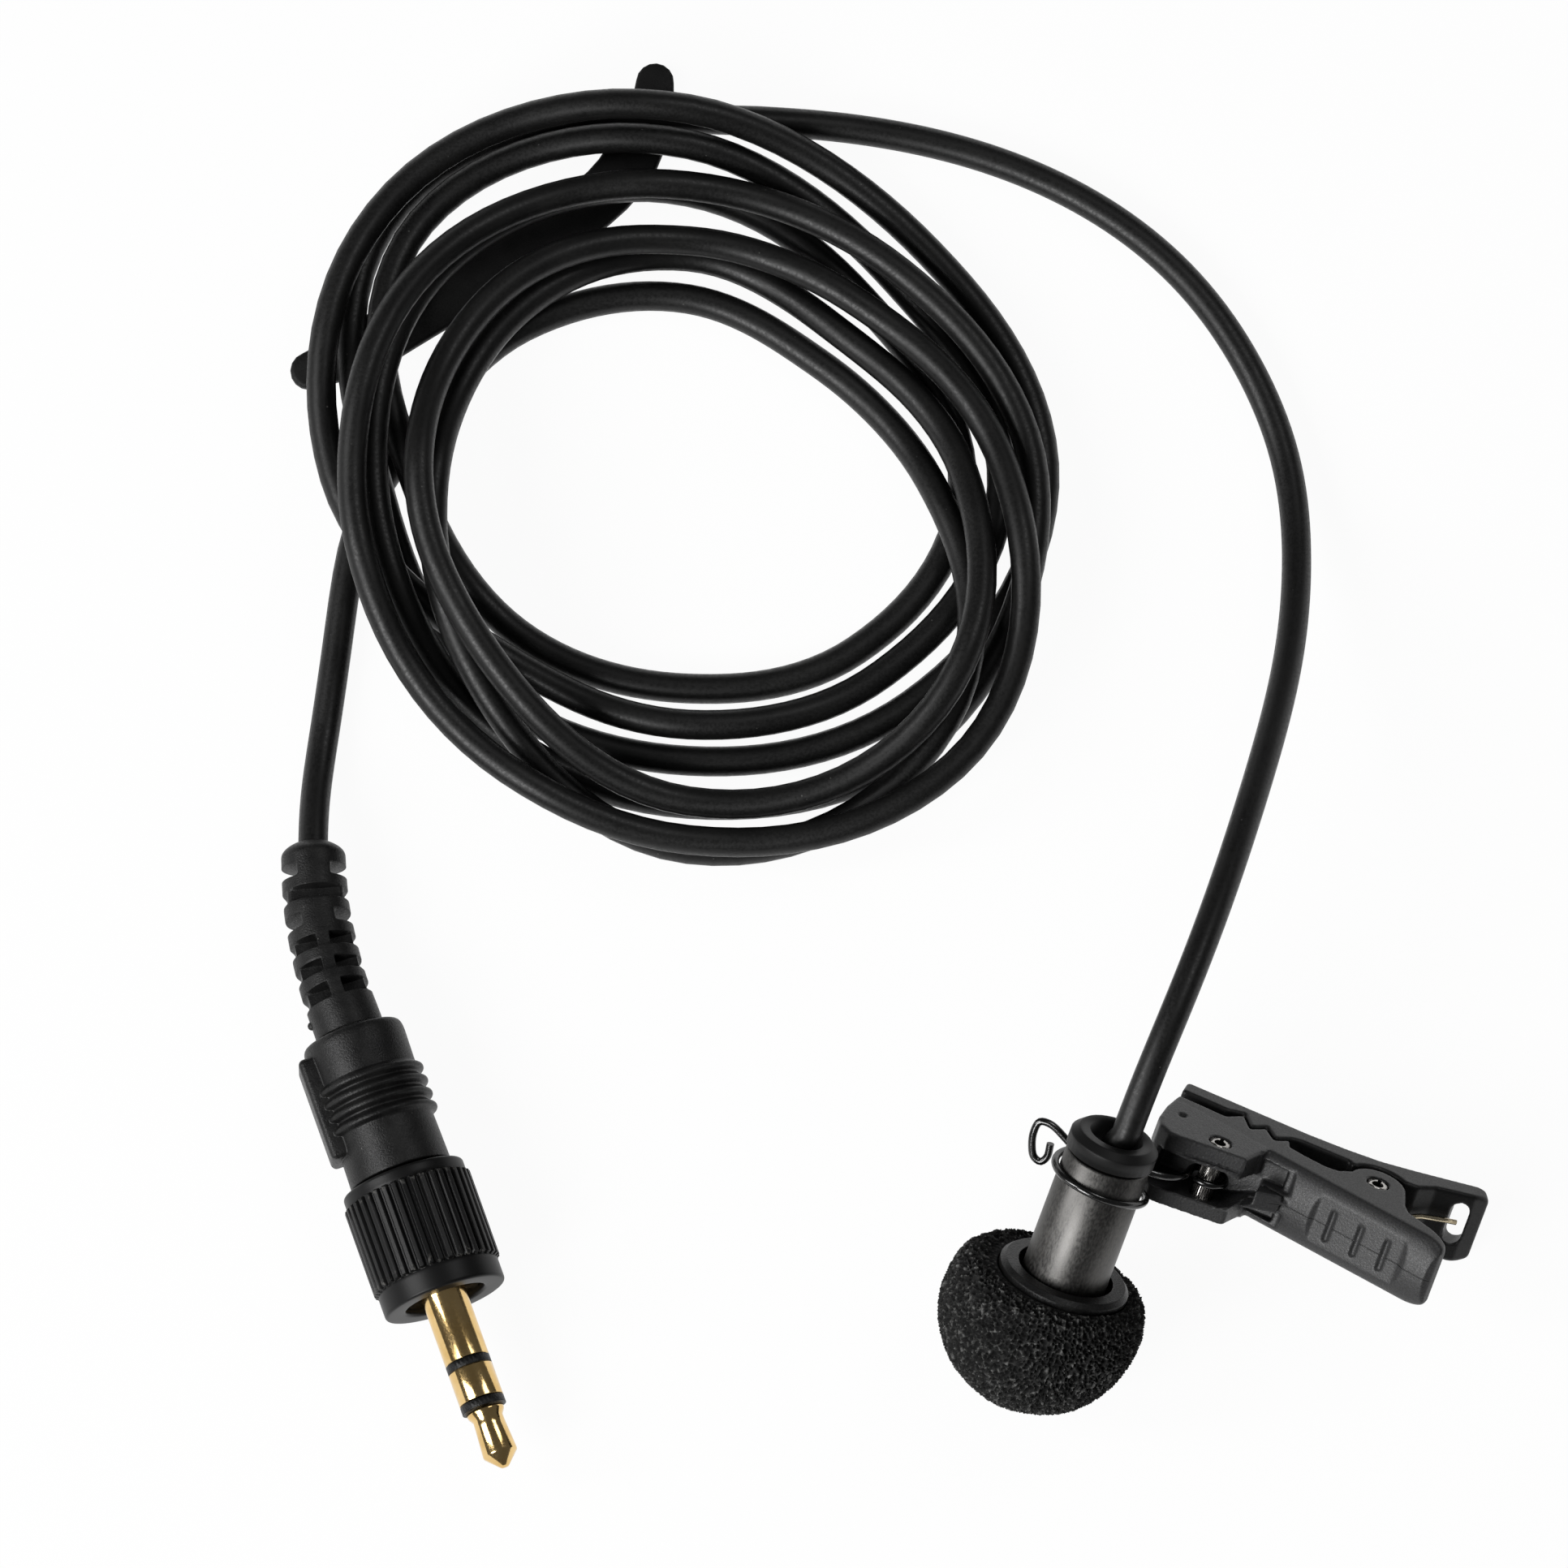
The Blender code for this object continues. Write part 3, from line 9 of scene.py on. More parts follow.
import json
import logging
import math
from collections.abc import Callable
from dataclasses import dataclass, field
from enum import Enum

import bmesh
import bpy
import numpy as np
from mathutils import Euler, Matrix, Vector, noise

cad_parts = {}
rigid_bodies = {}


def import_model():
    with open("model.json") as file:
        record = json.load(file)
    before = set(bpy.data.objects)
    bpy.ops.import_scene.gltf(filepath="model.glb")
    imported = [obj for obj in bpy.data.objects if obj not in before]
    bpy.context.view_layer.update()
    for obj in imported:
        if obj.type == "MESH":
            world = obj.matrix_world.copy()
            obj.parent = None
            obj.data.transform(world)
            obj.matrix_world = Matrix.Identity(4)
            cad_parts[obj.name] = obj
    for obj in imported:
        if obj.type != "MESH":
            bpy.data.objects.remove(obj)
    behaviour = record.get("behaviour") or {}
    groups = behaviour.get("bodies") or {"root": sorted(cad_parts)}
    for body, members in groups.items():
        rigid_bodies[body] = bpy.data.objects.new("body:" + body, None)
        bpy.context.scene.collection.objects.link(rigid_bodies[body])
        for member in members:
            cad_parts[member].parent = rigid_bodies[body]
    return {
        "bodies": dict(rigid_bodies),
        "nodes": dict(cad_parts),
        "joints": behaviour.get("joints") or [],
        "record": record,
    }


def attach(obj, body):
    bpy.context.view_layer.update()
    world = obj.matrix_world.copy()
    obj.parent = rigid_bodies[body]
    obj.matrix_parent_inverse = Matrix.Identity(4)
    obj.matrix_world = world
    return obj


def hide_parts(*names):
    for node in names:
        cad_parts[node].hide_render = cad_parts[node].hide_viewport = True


LOG = logging.getLogger("lavalier")
MM = 0.001
# Room between the ends of neighbouring pieces, and round a shaft in its bore.
GAP = 0.3 * MM
RUN = 0.1 * MM
# The rear face of the microphone, along its axis.
REAR = 3.70 * MM
# How near two places count as one.
SAME = 1e-7

Point = tuple[float, ...]


class Body(Enum):
    """The bodies that a piece can ride on."""

    MICROPHONE = "microphone"
    WINDSCREEN = "windscreen"
    HOLDER = "holder"
    CLIP = "clip"
    JAW = "jaw"
    LOCK_RING = "lock_ring"


class Slot(Enum):
    """The record's material slots."""

    TUBE = "satin_gunmetal"
    SCREEN = "dark_screen"
    CAPSULE = "capsule_metal"
    GOLD = "gold"
    BOARD = "board"
    SEAT = "black_rubber"
    MOULDING = "black_moulding"
    FOAM = "foam"
    WIRE = "black_nickel"
    CLIP = "clip_nylon"
    PIN = "steel_pin"
    SPRING = "spring_wire"
    CORD = "cord_jacket"
    STRAP = "strap"
    RELIEF = "relief_rubber"
    RING = "ring_plastic"


MIC_PLACE = Matrix.Translation((-8.80 * MM, 3.44 * MM, 15.79 * MM)) @ Euler(
    (math.radians(37.9 - 90.0), 0.0, math.radians(66.4 - 90.0))
).to_matrix().to_4x4()
CLIP_PLACE = MIC_PLACE @ Matrix.Translation((6.9 * MM, 7.2 * MM, 0.0))
PLUG_PLACE = Matrix.Translation((-58.75 * MM, -3.65 * MM, 5.05 * MM)) @ Euler(
    (0.0, math.radians(90.0), math.radians(-70.8))
).to_matrix().to_4x4()


@dataclass(eq=False)
class Link:
    """A socket of a material, with the arithmetic that shader maths needs."""

    paint: Paint
    socket: bpy.types.NodeSocket

    def maths(self, operation: str, *values: Link | float) -> Link:
        """The result of a Math node with these inputs."""
        inputs = dict(enumerate(values))
        return self.paint.node("ShaderNodeMath", {"operation": operation}, inputs)

    def __add__(self, other: Link | float) -> Link:
        """Sum."""
        return self.maths("ADD", self, other)

    __radd__ = __add__

    def __sub__(self, other: Link | float) -> Link:
        """Difference."""
        return self.maths("SUBTRACT", self, other)

    def __mul__(self, other: Link | float) -> Link:
        """Product."""
        return self.maths("MULTIPLY", self, other)

    __rmul__ = __mul__

    def __abs__(self) -> Link:
        """Size without sign."""
        return self.maths("ABSOLUTE", self)

    def least(self, other: Link | float) -> Link:
        """The smaller of two."""
        return self.maths("MINIMUM", self, other)

    def ramp(self, low: float, high: float, start: float = 0.0, end: float = 1.0) -> Link:
        """Ease from start to end while this goes from low to high."""
        return self.paint.node(
            "ShaderNodeMapRange",
            {"interpolation_type": "SMOOTHSTEP"},
            {0: self, 1: low, 2: high, 3: start, 4: end},
        )


class Paint:
    """One material, built node by node round its Principled shader."""

    def __init__(self, name: str) -> None:
        """Start a plain material of this name."""
        self.material = bpy.data.materials.new(name)
        self.material.use_nodes = True
        self.tree = self.material.node_tree
        self.shader = self.tree.nodes["Principled BSDF"]

    def node(
        self,
        kind: str,
        settings: dict | None = None,
        inputs: dict | None = None,
        output: int | str = 0,
    ) -> Link:
        """Add any node.

        Args:
            kind: The node's type.
            settings: Its own settings, set first.
            inputs: Values or links by socket name or number.
            output: The output to hand back.

        Returns:
            The chosen output.
        """
        made = self.tree.nodes.new(kind)
        for key, value in (settings or {}).items():
            setattr(made, key, value)
        self.fill(made, inputs or {})
        return Link(self, made.outputs[output])

    def fill(self, made: bpy.types.Node, values: dict) -> None:
        """Set or link the inputs of a node."""
        for key, value in values.items():
            if isinstance(value, Link):
                self.tree.links.new(value.socket, made.inputs[key])
            else:
                made.inputs[key].default_value = value

    def place(self) -> Link:
        """The piece's own coordinates, in metres."""
        return self.node("ShaderNodeTexCoord", output="Object")

    def local(self, frame: Matrix) -> Link:
        """The piece's coordinates in a sub-assembly's frame."""
        return self.node(
            "ShaderNodeMapping",
            {"vector_type": "TEXTURE"},
            {
                "Vector": self.place(),
                "Location": frame.translation,
                "Rotation": frame.to_euler(),
            },
        )

    def axis(self, vector: Link, index: int) -> Link:
        """One coordinate of a vector."""
        return self.node("ShaderNodeSeparateXYZ", inputs={0: vector}, output=index)

    def speckle(self, size: float, detail: float = 2.0, where: Link | None = None) -> Link:
        """Cloudy noise about 0.5, in lumps of a size in metres."""
        return self.node(
            "ShaderNodeTexNoise",
            None,
            {"Vector": where or self.place(), "Scale": 1.0 / size, "Detail": detail},
            "Fac",
        )

    def blend(self, factor: Link, low: Point, high: Point) -> Link:
        """Two colours, mixed by the share of the second."""
        return self.node(
            "ShaderNodeMix",
            {"data_type": "RGBA"},
            {0: factor, 6: (*low, 1.0), 7: (*high, 1.0)},
            2,
        )

    def bump(self, height: Link, depth: float, normal: Link | None = None) -> Link:
        """A normal bumped by heights from 0 to 1 of a depth in metres."""
        base = {"Normal": normal} if normal else {}
        inputs = {"Height": height, "Distance": depth, "Strength": 1.0}
        return self.node("ShaderNodeBump", None, inputs | base)

    def eased(self, radius: float) -> Link:
        """A normal that rounds sharp edges."""
        return self.node("ShaderNodeBevel", {"samples": 8}, {"Radius": radius})

    def put(self, **sockets: Link | float | Point) -> None:
        """Set or link sockets of the shader, named with _ for a space."""
        self.fill(self.shader, {key.replace("_", " "): value for key, value in sockets.items()})


@dataclass(frozen=True)
class Finish:
    """A plain finish: mottled colour, uneven gloss, grain and eased edges."""

    slot: Slot
    dark: Point
    light: Point
    rough: tuple[float, float]
    metal: float = 0.0
    patch: float = 1.5 * MM
    grain: float = 0.12 * MM
    depth: float = 0.004 * MM
    edge: float = 0.0
    specular: float = 0.5

    def paint(self) -> Paint:
        """The paint that all these finishes share, ready for more."""
        paint = Paint(self.slot.value)
        cloud = paint.speckle(self.patch, 3.0).ramp(0.3, 0.7)
        fine = paint.speckle(self.grain, 2.0)
        paint.put(
            Base_Color=paint.blend(cloud, self.dark, self.light),
            Roughness=fine.ramp(0.3, 0.7, *self.rough),
            Metallic=self.metal,
            Specular_IOR_Level=self.specular,
            Normal=paint.bump(fine, self.depth, paint.eased(self.edge) if self.edge else None),
        )
        return paint

    def material(self) -> bpy.types.Material:
        """The finished material."""
        return self.paint().material


@dataclass(frozen=True)
class FoamFinish(Finish):
    """Open-cell foam: pores painted black as painted shade, struts painted paler, with painted
    glints as highlights on them.
    """

    painted_glint: float = 0.40 * MM
    dull: float = 0.12

    def paint(self) -> Paint:
        """The foam, read from the cells that the mesh carries."""
        paint = super().paint()
        # The pores are painted black as painted shade in the holes; the struts are painted
        # paler, mostly where sparse painted glints fall, as painted highlights.
        cell = paint.node("ShaderNodeAttribute", {"attribute_name": "strut"}, output="Fac")
        painted_glint = paint.speckle(self.painted_glint, 2.0).ramp(0.48, 0.68)
        strut = cell.ramp(0.55, 1.25) * (self.dull + (1.0 - self.dull) * painted_glint)
        paint.put(
            Base_Color=paint.blend(strut, self.dark, self.light),
            Roughness=strut.ramp(0.0, 1.0, self.rough[1], self.rough[0]),
        )
        return paint


@dataclass(frozen=True)
class TubeFinish(Finish):
    """Satin metal, blasted and then anodised dark."""

    streaks: float = 6500.0
    stretch: Point = (1.0, 1.0, 0.45)

    def paint(self) -> Paint:
        """The tube's metal with its faint lengthwise streaks."""
        paint = super().paint()
        spot = paint.node(
            "ShaderNodeVectorMath",
            {"operation": "MULTIPLY"},
            {0: paint.local(MIC_PLACE), 1: self.stretch},
        )
        streak = paint.speckle(1.0 / self.streaks, 2.0, spot)
        paint.put(
            Roughness=streak.ramp(0.3, 0.7, *self.rough),
            Base_Color=paint.blend(streak.ramp(0.25, 0.75), self.dark, self.light),
        )
        return paint


@dataclass(frozen=True)
class ClipFinish(Finish):
    """Grained nylon with a parting line down the middle of the grip's back, which is painted
    paler as a painted highlight.
    """

    slope: float = -0.218
    back: float = 2.07 * MM
    parting: float = 0.06 * MM
    relief: float = 0.022 * MM

    def paint(self) -> Paint:
        """The clip's nylon: smooth sides, a grained and worn back that is also painted paler as
        a painted highlight.
        """
        paint = super().paint()
        spot = paint.local(CLIP_PLACE)
        along, down, across = (paint.axis(spot, index) for index in range(3))
        under = down - (along * self.slope + self.back)
        # The grip's back: its grain is bumped there, and its colour is painted paler there as a
        # painted highlight.
        grained_and_lit_back = under.ramp(0.75 * MM, 1.15 * MM, 1.0, 0.0)
        grain = paint.speckle(0.16 * MM, 3.0)
        wear = paint.speckle(0.14 * MM, 3.0).ramp(0.35, 0.75) * grained_and_lit_back
        line = abs(across - self.parting).ramp(0.02 * MM, 0.055 * MM, 1.0, 0.0)
        line = line * under.ramp(0.30 * MM, 0.40 * MM, 1.0, 0.0) * along.ramp(5.0 * MM, 5.4 * MM)
        height = grain * (0.25 + 0.75 * grained_and_lit_back) - line * 2.2
        # Paler with wear specks, paler again over the whole back as a painted highlight, darker
        # on the parting line.
        pale = wear * 0.35 + grained_and_lit_back * 0.45 - line * 0.8
        paint.put(
            Base_Color=paint.blend(pale, self.dark, self.light),
            Normal=paint.bump(height, self.relief, paint.eased(self.edge)),
        )
        return paint


@dataclass(frozen=True)
class MouldingFinish(Finish):
    """Black moulding with a spark-eroded grain and tiny pale specks of dust and painted sparkle.
    """

    specks: float = 0.55 * MM

    def paint(self) -> Paint:
        """The moulding with its dust and painted sparkle."""
        paint = super().paint()
        cells = paint.node(
            "ShaderNodeTexVoronoi",
            None,
            {"Vector": paint.place(), "Scale": 1.0 / self.specks, "Randomness": 1.0},
            "Distance",
        )
        rare = paint.speckle(1.1 * MM, 2.0).ramp(0.60, 0.68)
        # Tiny pale specks: partly dust, partly painted sparkle as painted highlights.
        dust_and_sparkle = cells.ramp(0.05, 0.12, 1.0, 0.0) * rare
        cloud = paint.speckle(self.patch, 3.0).ramp(0.3, 0.7) * 0.03
        paint.put(Base_Color=paint.blend(dust_and_sparkle * 0.65 + cloud, self.dark, self.light))
        return paint


@dataclass(frozen=True)
class RingFinish(Finish):
    """Semi-gloss black with pale scuffs on the ends of the knurl."""

    def paint(self) -> Paint:
        """The ring, scuffed where the mesh says so."""
        paint = super().paint()
        worn = paint.node("ShaderNodeAttribute", {"attribute_name": "worn"}, output="Fac")
        chips = paint.speckle(0.35 * MM, 4.0).ramp(0.52, 0.62)
        scuff = worn.ramp(0.3, 1.0) * chips
        paint.put(
            Base_Color=paint.blend(scuff, self.dark, self.light),
            Roughness=scuff.ramp(0.0, 1.0, self.rough[0], 0.6),
        )
        return paint


BLACK = (0.0035, 0.0035, 0.0036)
# Colour of the pale specks on the mouldings: dust and painted sparkle.
DUST_AND_SPARKLE = (0.20, 0.20, 0.19)
FINISHES: dict[Slot, Finish] = {
    finish.slot: finish
    for finish in (
        TubeFinish(
            Slot.TUBE, (0.080, 0.078, 0.076), (0.130, 0.127, 0.122), (0.38, 0.48), 1.0,
            edge=0.08 * MM,
        ),
        Finish(Slot.SCREEN, (0.04,) * 3, (0.08,) * 3, (0.35, 0.5), 0.8),
        Finish(Slot.CAPSULE, (0.55,) * 3, (0.68, 0.68, 0.66), (0.25, 0.4), 1.0),
        Finish(
            Slot.GOLD, (0.74, 0.50, 0.20), (0.84, 0.60, 0.28), (0.09, 0.18), 1.0,
            depth=0.0012 * MM, edge=0.06 * MM,
        ),
        Finish(Slot.BOARD, (0.01, 0.08, 0.03), (0.03, 0.15, 0.06), (0.4, 0.6)),
        Finish(Slot.SEAT, (0.02,) * 3, (0.04,) * 3, (0.7, 0.9)),
        MouldingFinish(
            Slot.MOULDING, BLACK, DUST_AND_SPARKLE, (0.34, 0.50),
            grain=0.13 * MM, depth=0.034 * MM, edge=0.12 * MM, specular=0.28,
        ),
        FoamFinish(Slot.FOAM, (0.003,) * 3, (0.085, 0.085, 0.082), (0.50, 0.95), specular=0.35),
        Finish(Slot.WIRE, (0.055,) * 3, (0.09,) * 3, (0.14, 0.26), 1.0),
        ClipFinish(
            Slot.CLIP, (0.0060, 0.0060, 0.0061), (0.040, 0.040, 0.041), (0.36, 0.50),
            edge=0.11 * MM, specular=0.38,
        ),
        Finish(
            Slot.PIN, (0.34, 0.33, 0.31), (0.48, 0.46, 0.44), (0.20, 0.32), 1.0,
            edge=0.05 * MM,
        ),
        Finish(Slot.SPRING, (0.50, 0.42, 0.28), (0.66, 0.58, 0.42), (0.2, 0.35), 1.0),
        MouldingFinish(
            Slot.CORD, (0.0030,) * 3, (0.10, 0.10, 0.095), (0.36, 0.50), patch=4.0 * MM,
            grain=0.22 * MM, depth=0.007 * MM, specular=0.36, specks=0.70 * MM,
        ),
        Finish(
            Slot.STRAP, (0.0030,) * 3, (0.0055,) * 3, (0.5, 0.7),
            grain=0.15 * MM, depth=0.012 * MM, edge=0.15 * MM, specular=0.25,
        ),
        MouldingFinish(
            Slot.RELIEF, BLACK, DUST_AND_SPARKLE, (0.36, 0.54),
            grain=0.13 * MM, depth=0.034 * MM, edge=0.10 * MM, specular=0.28,
        ),
        RingFinish(
            Slot.RING, BLACK, (0.075, 0.073, 0.068), (0.40, 0.54),
            edge=0.07 * MM, specular=0.22,
        ),
    )
}


@dataclass
class Workshop:
    """The loaded model, with the materials that are made once and shared."""

    frame: dict
    pots: dict[Slot, bpy.types.Material] = field(default_factory=dict)

    def material(self, slot: Slot) -> bpy.types.Material:
        """The material of a slot, made when first asked for."""
        if slot not in self.pots:
            self.pots[slot] = FINISHES[slot].material()
        return self.pots[slot]

    def paint_node(self, node: str, slot: Slot) -> None:
        """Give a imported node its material."""
        mesh = self.frame["nodes"][node].data
        mesh.materials.clear()
        mesh.materials.append(self.material(slot))
        LOG.info("%s: packed shape, %s", node, slot.value)

    def mount(
        self,
        item: bpy.types.Object,
        body: Body,
        slot: Slot,
        *nodes: str,
        finish: Finish | None = None,
    ) -> bpy.types.Object:
        """Put a piece in the model.

        Args:
            item: The piece.
            body: The body that it rides on.
            slot: Its material.
            nodes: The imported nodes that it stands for.
            finish: A finish of its own, or none for the slot's.

        Returns:
            The piece.
        """
        item.data.materials.append(finish.material() if finish else self.material(slot))
        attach(item, body.value)
        if nodes:
            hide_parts(*nodes)
        LOG.info("%s: on %s, %s", item.name, body.value, slot.value)
        return item

    def merged(self, node: str) -> bmesh.types.BMesh:
        """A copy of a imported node's mesh with its doubles merged."""
        form = bmesh.new()
        form.from_mesh(self.frame["nodes"][node].data)
        bmesh.ops.remove_doubles(form, verts=form.verts, dist=0.002 * MM)
        return form

    def refined(
        self,
        node: str,
        body: Body,
        slot: Slot,
        angle: float = 32.0,
        finish: Finish | None = None,
    ) -> bpy.types.Object:
        """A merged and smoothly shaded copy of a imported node.

        Args:
            node: The node to stand for.
            body: The body that it rides on.
            slot: Its material.
            angle: The turn in degrees from which an edge stays sharp.
            finish: A finish of its own, or none for the slot's.

        Returns:
            The copy.
        """
        item = finished(self.merged(node), f"{node}.fine", angle)
        item.data.materials.clear()
        return self.mount(item, body, slot, node, finish=finish)

    def moulded(
        self,
        node: str,
        body: Body,
        slot: Slot,
        voxel: float,
        passes: int,
        shape: Callable[[Vector], Vector],
    ) -> bpy.types.Object:
        """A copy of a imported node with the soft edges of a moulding.

        Args:
            node: The node to stand for.
            body: The body that it rides on.
            slot: Its material.
            voxel: The size of the faces that its skin is made of.
            passes: How often the skin is smoothed.
            shape: Where a point of the skin is moved to at the end.

        Returns:
            The copy.
        """
        item = self.refined(node, body, slot)
        skin = item.modifiers.new("skin", "REMESH")
        skin.mode = "VOXEL"
        skin.voxel_size = voxel
        skin.use_smooth_shade = True
        soft = item.modifiers.new("soft_edges", "SMOOTH")
        soft.factor = 0.5
        soft.iterations = passes
        graph = bpy.context.evaluated_depsgraph_get()
        mesh = bpy.data.meshes.new_from_object(item.evaluated_get(graph))
        item.modifiers.clear()
        item.data = mesh
        for vertex in mesh.vertices:
            vertex.co = shape(vertex.co)
        return item


def finished(form: bmesh.types.BMesh, name: str, angle: float = 32.0) -> bpy.types.Object:
    """Turn a form into an object whose edges are sharp from an angle in degrees."""
    mesh = bpy.data.meshes.new(name)
    form.to_mesh(mesh)
    form.free()
    mesh.set_sharp_from_angle(angle=math.radians(angle))
    item = bpy.data.objects.new(name, mesh)
    bpy.context.scene.collection.objects.link(item)
    return item


def bevelled(
    form: bmesh.types.BMesh, edges: list[bmesh.types.BMEdge], offset: float, segments: int
) -> None:
    """Round edges of a form from this far off, in so many segments."""
    shape = {"affect": "EDGES", "segments": segments, "profile": 0.5, "material": -1}
    bmesh.ops.bevel(form, geom=edges, offset=offset, **shape)


def extruded(
    form: bmesh.types.BMesh, loop: list[bmesh.types.BMVert]
) -> list[bmesh.types.BMVert]:
    """Extrude a closed loop.

    Args:
        form: The form that it belongs to.
        loop: Its points in order.

    Returns:
        The fresh loop, in the same order.
    """
    edges = [
        next(edge for edge in vert.link_edges if edge.other_vert(vert) is after)
        for vert, after in zip(loop, loop[1:] + loop[:1])
    ]
    grown = bmesh.ops.extrude_edge_only(form, edges=edges)["geom"]
    fresh = {part for part in grown if isinstance(part, bmesh.types.BMVert)}
    return [
        next(edge.other_vert(vert) for edge in vert.link_edges if edge.other_vert(vert) in fresh)
        for vert in loop
    ]


def smooth(share: float) -> float:
    """Ease a share between nought and one."""
    return share * share * (3.0 - 2.0 * share)


def metres(points: tuple[Point, ...]) -> list[Point]:
    """Points in metres, of points in millimetres."""
    return [tuple(value * MM for value in point) for point in points]


def rounded(outline: list[Point], radius: float, steps: int) -> list[Point]:
    """Round the inner corners of an open outline.

    Args:
        outline: The corners in order.
        radius: How far from a corner its rounding starts.
        steps: The pieces of each rounding.

    Returns:
        The rounded outline.
    """
    made = [outline[0]]
    for before, corner, after in zip(outline, outline[1:], outline[2:]):
        here = Vector(corner)
        back, ahead = Vector(before) - here, Vector(after) - here
        start = here + back.normalized() * min(radius, back.length * 0.45)
        end = here + ahead.normalized() * min(radius, ahead.length * 0.45)
        for index in range(steps + 1):
            share = index / steps
            made.append(tuple(start.lerp(here, share).lerp(here.lerp(end, share), share)))
    return made + [outline[-1]]


def lathe(outline: list[Point], steps: int) -> bmesh.types.BMesh:
    """Spin an outline of radius and height round the axis.

    Args:
        outline: The outline from one end to the other.
        steps: The faces in a full turn.

    Returns:
        The closed form, about its own axis.
    """
    form = bmesh.new()
    verts = [form.verts.new((radius, 0.0, height)) for radius, height in outline]
    edges = [form.edges.new(pair) for pair in zip(verts, verts[1:])]
    turn = {"axis": (0.0, 0.0, 1.0), "angle": 2 * math.pi, "steps": steps}
    bmesh.ops.spin(form, geom=verts + edges, cent=(0.0, 0.0, 0.0), use_merge=True, **turn)
    bmesh.ops.remove_doubles(form, verts=form.verts, dist=0.0005 * MM)
    bmesh.ops.recalc_face_normals(form, faces=form.faces)
    return form


def through(route: list[Point], step: float) -> np.ndarray:
    """Evenly spaced points on a smooth curve.

    Args:
        route: The points that the curve passes.
        step: The space between the points made.

    Returns:
        The points.
    """
    points = np.array(route, dtype=float)
    points = np.vstack([2 * points[0] - points[1], points, 2 * points[-1] - points[-2]])
    dense = []
    for p0, p1, p2, p3 in zip(points, points[1:], points[2:], points[3:]):
        t1 = np.linalg.norm(p1 - p0) ** 0.5
        t2 = t1 + np.linalg.norm(p2 - p1) ** 0.5
        t3 = t2 + np.linalg.norm(p3 - p2) ** 0.5
        for t in np.linspace(t1, t2, 24, endpoint=False):
            a1 = ((t1 - t) * p0 + t * p1) / t1
            a2 = ((t2 - t) * p1 + (t - t1) * p2) / (t2 - t1)
            a3 = ((t3 - t) * p2 + (t - t2) * p3) / (t3 - t2)
            b1 = ((t2 - t) * a1 + t * a2) / t2
            b2 = ((t3 - t) * a2 + (t - t1) * a3) / (t3 - t1)
            dense.append(((t2 - t) * b1 + (t - t1) * b2) / (t2 - t1))
    dense = np.array(dense + [points[-2]])
    along = np.concatenate([[0.0], np.cumsum(np.linalg.norm(np.diff(dense, axis=0), axis=1))])
    marks = np.linspace(0.0, along[-1], max(2, round(along[-1] / step) + 1))
    return np.column_stack([np.interp(marks, along, dense[:, k]) for k in range(3)])


def relaxed(line: np.ndarray, held: int, passes: int) -> np.ndarray:
    """Ease the bends of a line so many times, holding points at its ends."""
    eased = line.copy()
    for _ in range(passes):
        middle = 0.25 * (eased[:-2] + eased[2:]) + 0.5 * eased[1:-1]
        eased[held:-held] = middle[held - 1 : len(middle) + 1 - held]
    return eased


def strand(name: str, points: np.ndarray, radius: float) -> bpy.types.Object:
    """A round wire or cord along a line."""
    curve = bpy.data.curves.new(name, "CURVE")
    curve.dimensions = "3D"
    curve.bevel_depth = radius
    curve.bevel_resolution = 5
    curve.use_fill_caps = True
    spline = curve.splines.new("POLY")
    spline.points.add(len(points) - 1)
    spline.points.foreach_set("co", np.column_stack([points, np.ones(len(points))]).ravel())
    item = bpy.data.objects.new(name, curve)
    bpy.context.scene.collection.objects.link(item)
    return item


@dataclass
class Assembly:
    """A group of pieces that is made in the workshop."""

    shop: Workshop


@dataclass
class Microphone(Assembly):
    """Tube, capsule stack and rear bush."""

    bush: Finish = Finish(
        Slot.MOULDING, (0.0035,) * 3, (0.0035,) * 3, (0.5, 0.5), edge=0.20 * MM, specular=0.25
    )
    inside: tuple[tuple[str, Slot], ...] = (
        ("front_screen", Slot.SCREEN),
        ("capsule_can", Slot.CAPSULE),
        ("capsule_diaphragm", Slot.CAPSULE),
        ("capsule_backplate", Slot.GOLD),
        ("capsule_board", Slot.BOARD),
        ("capsule_seat", Slot.SEAT),
        ("cable_crimp", Slot.CAPSULE),
    )

    def build(self) -> None:
        """Refine what shows and paint what is inside."""
        self.shop.refined("mic_body_tube", Body.MICROPHONE, Slot.TUBE)
        self.shop.refined("rear_bush", Body.MICROPHONE, Slot.MOULDING, finish=self.bush)
        for node, slot in self.inside:
            self.shop.paint_node(node, slot)


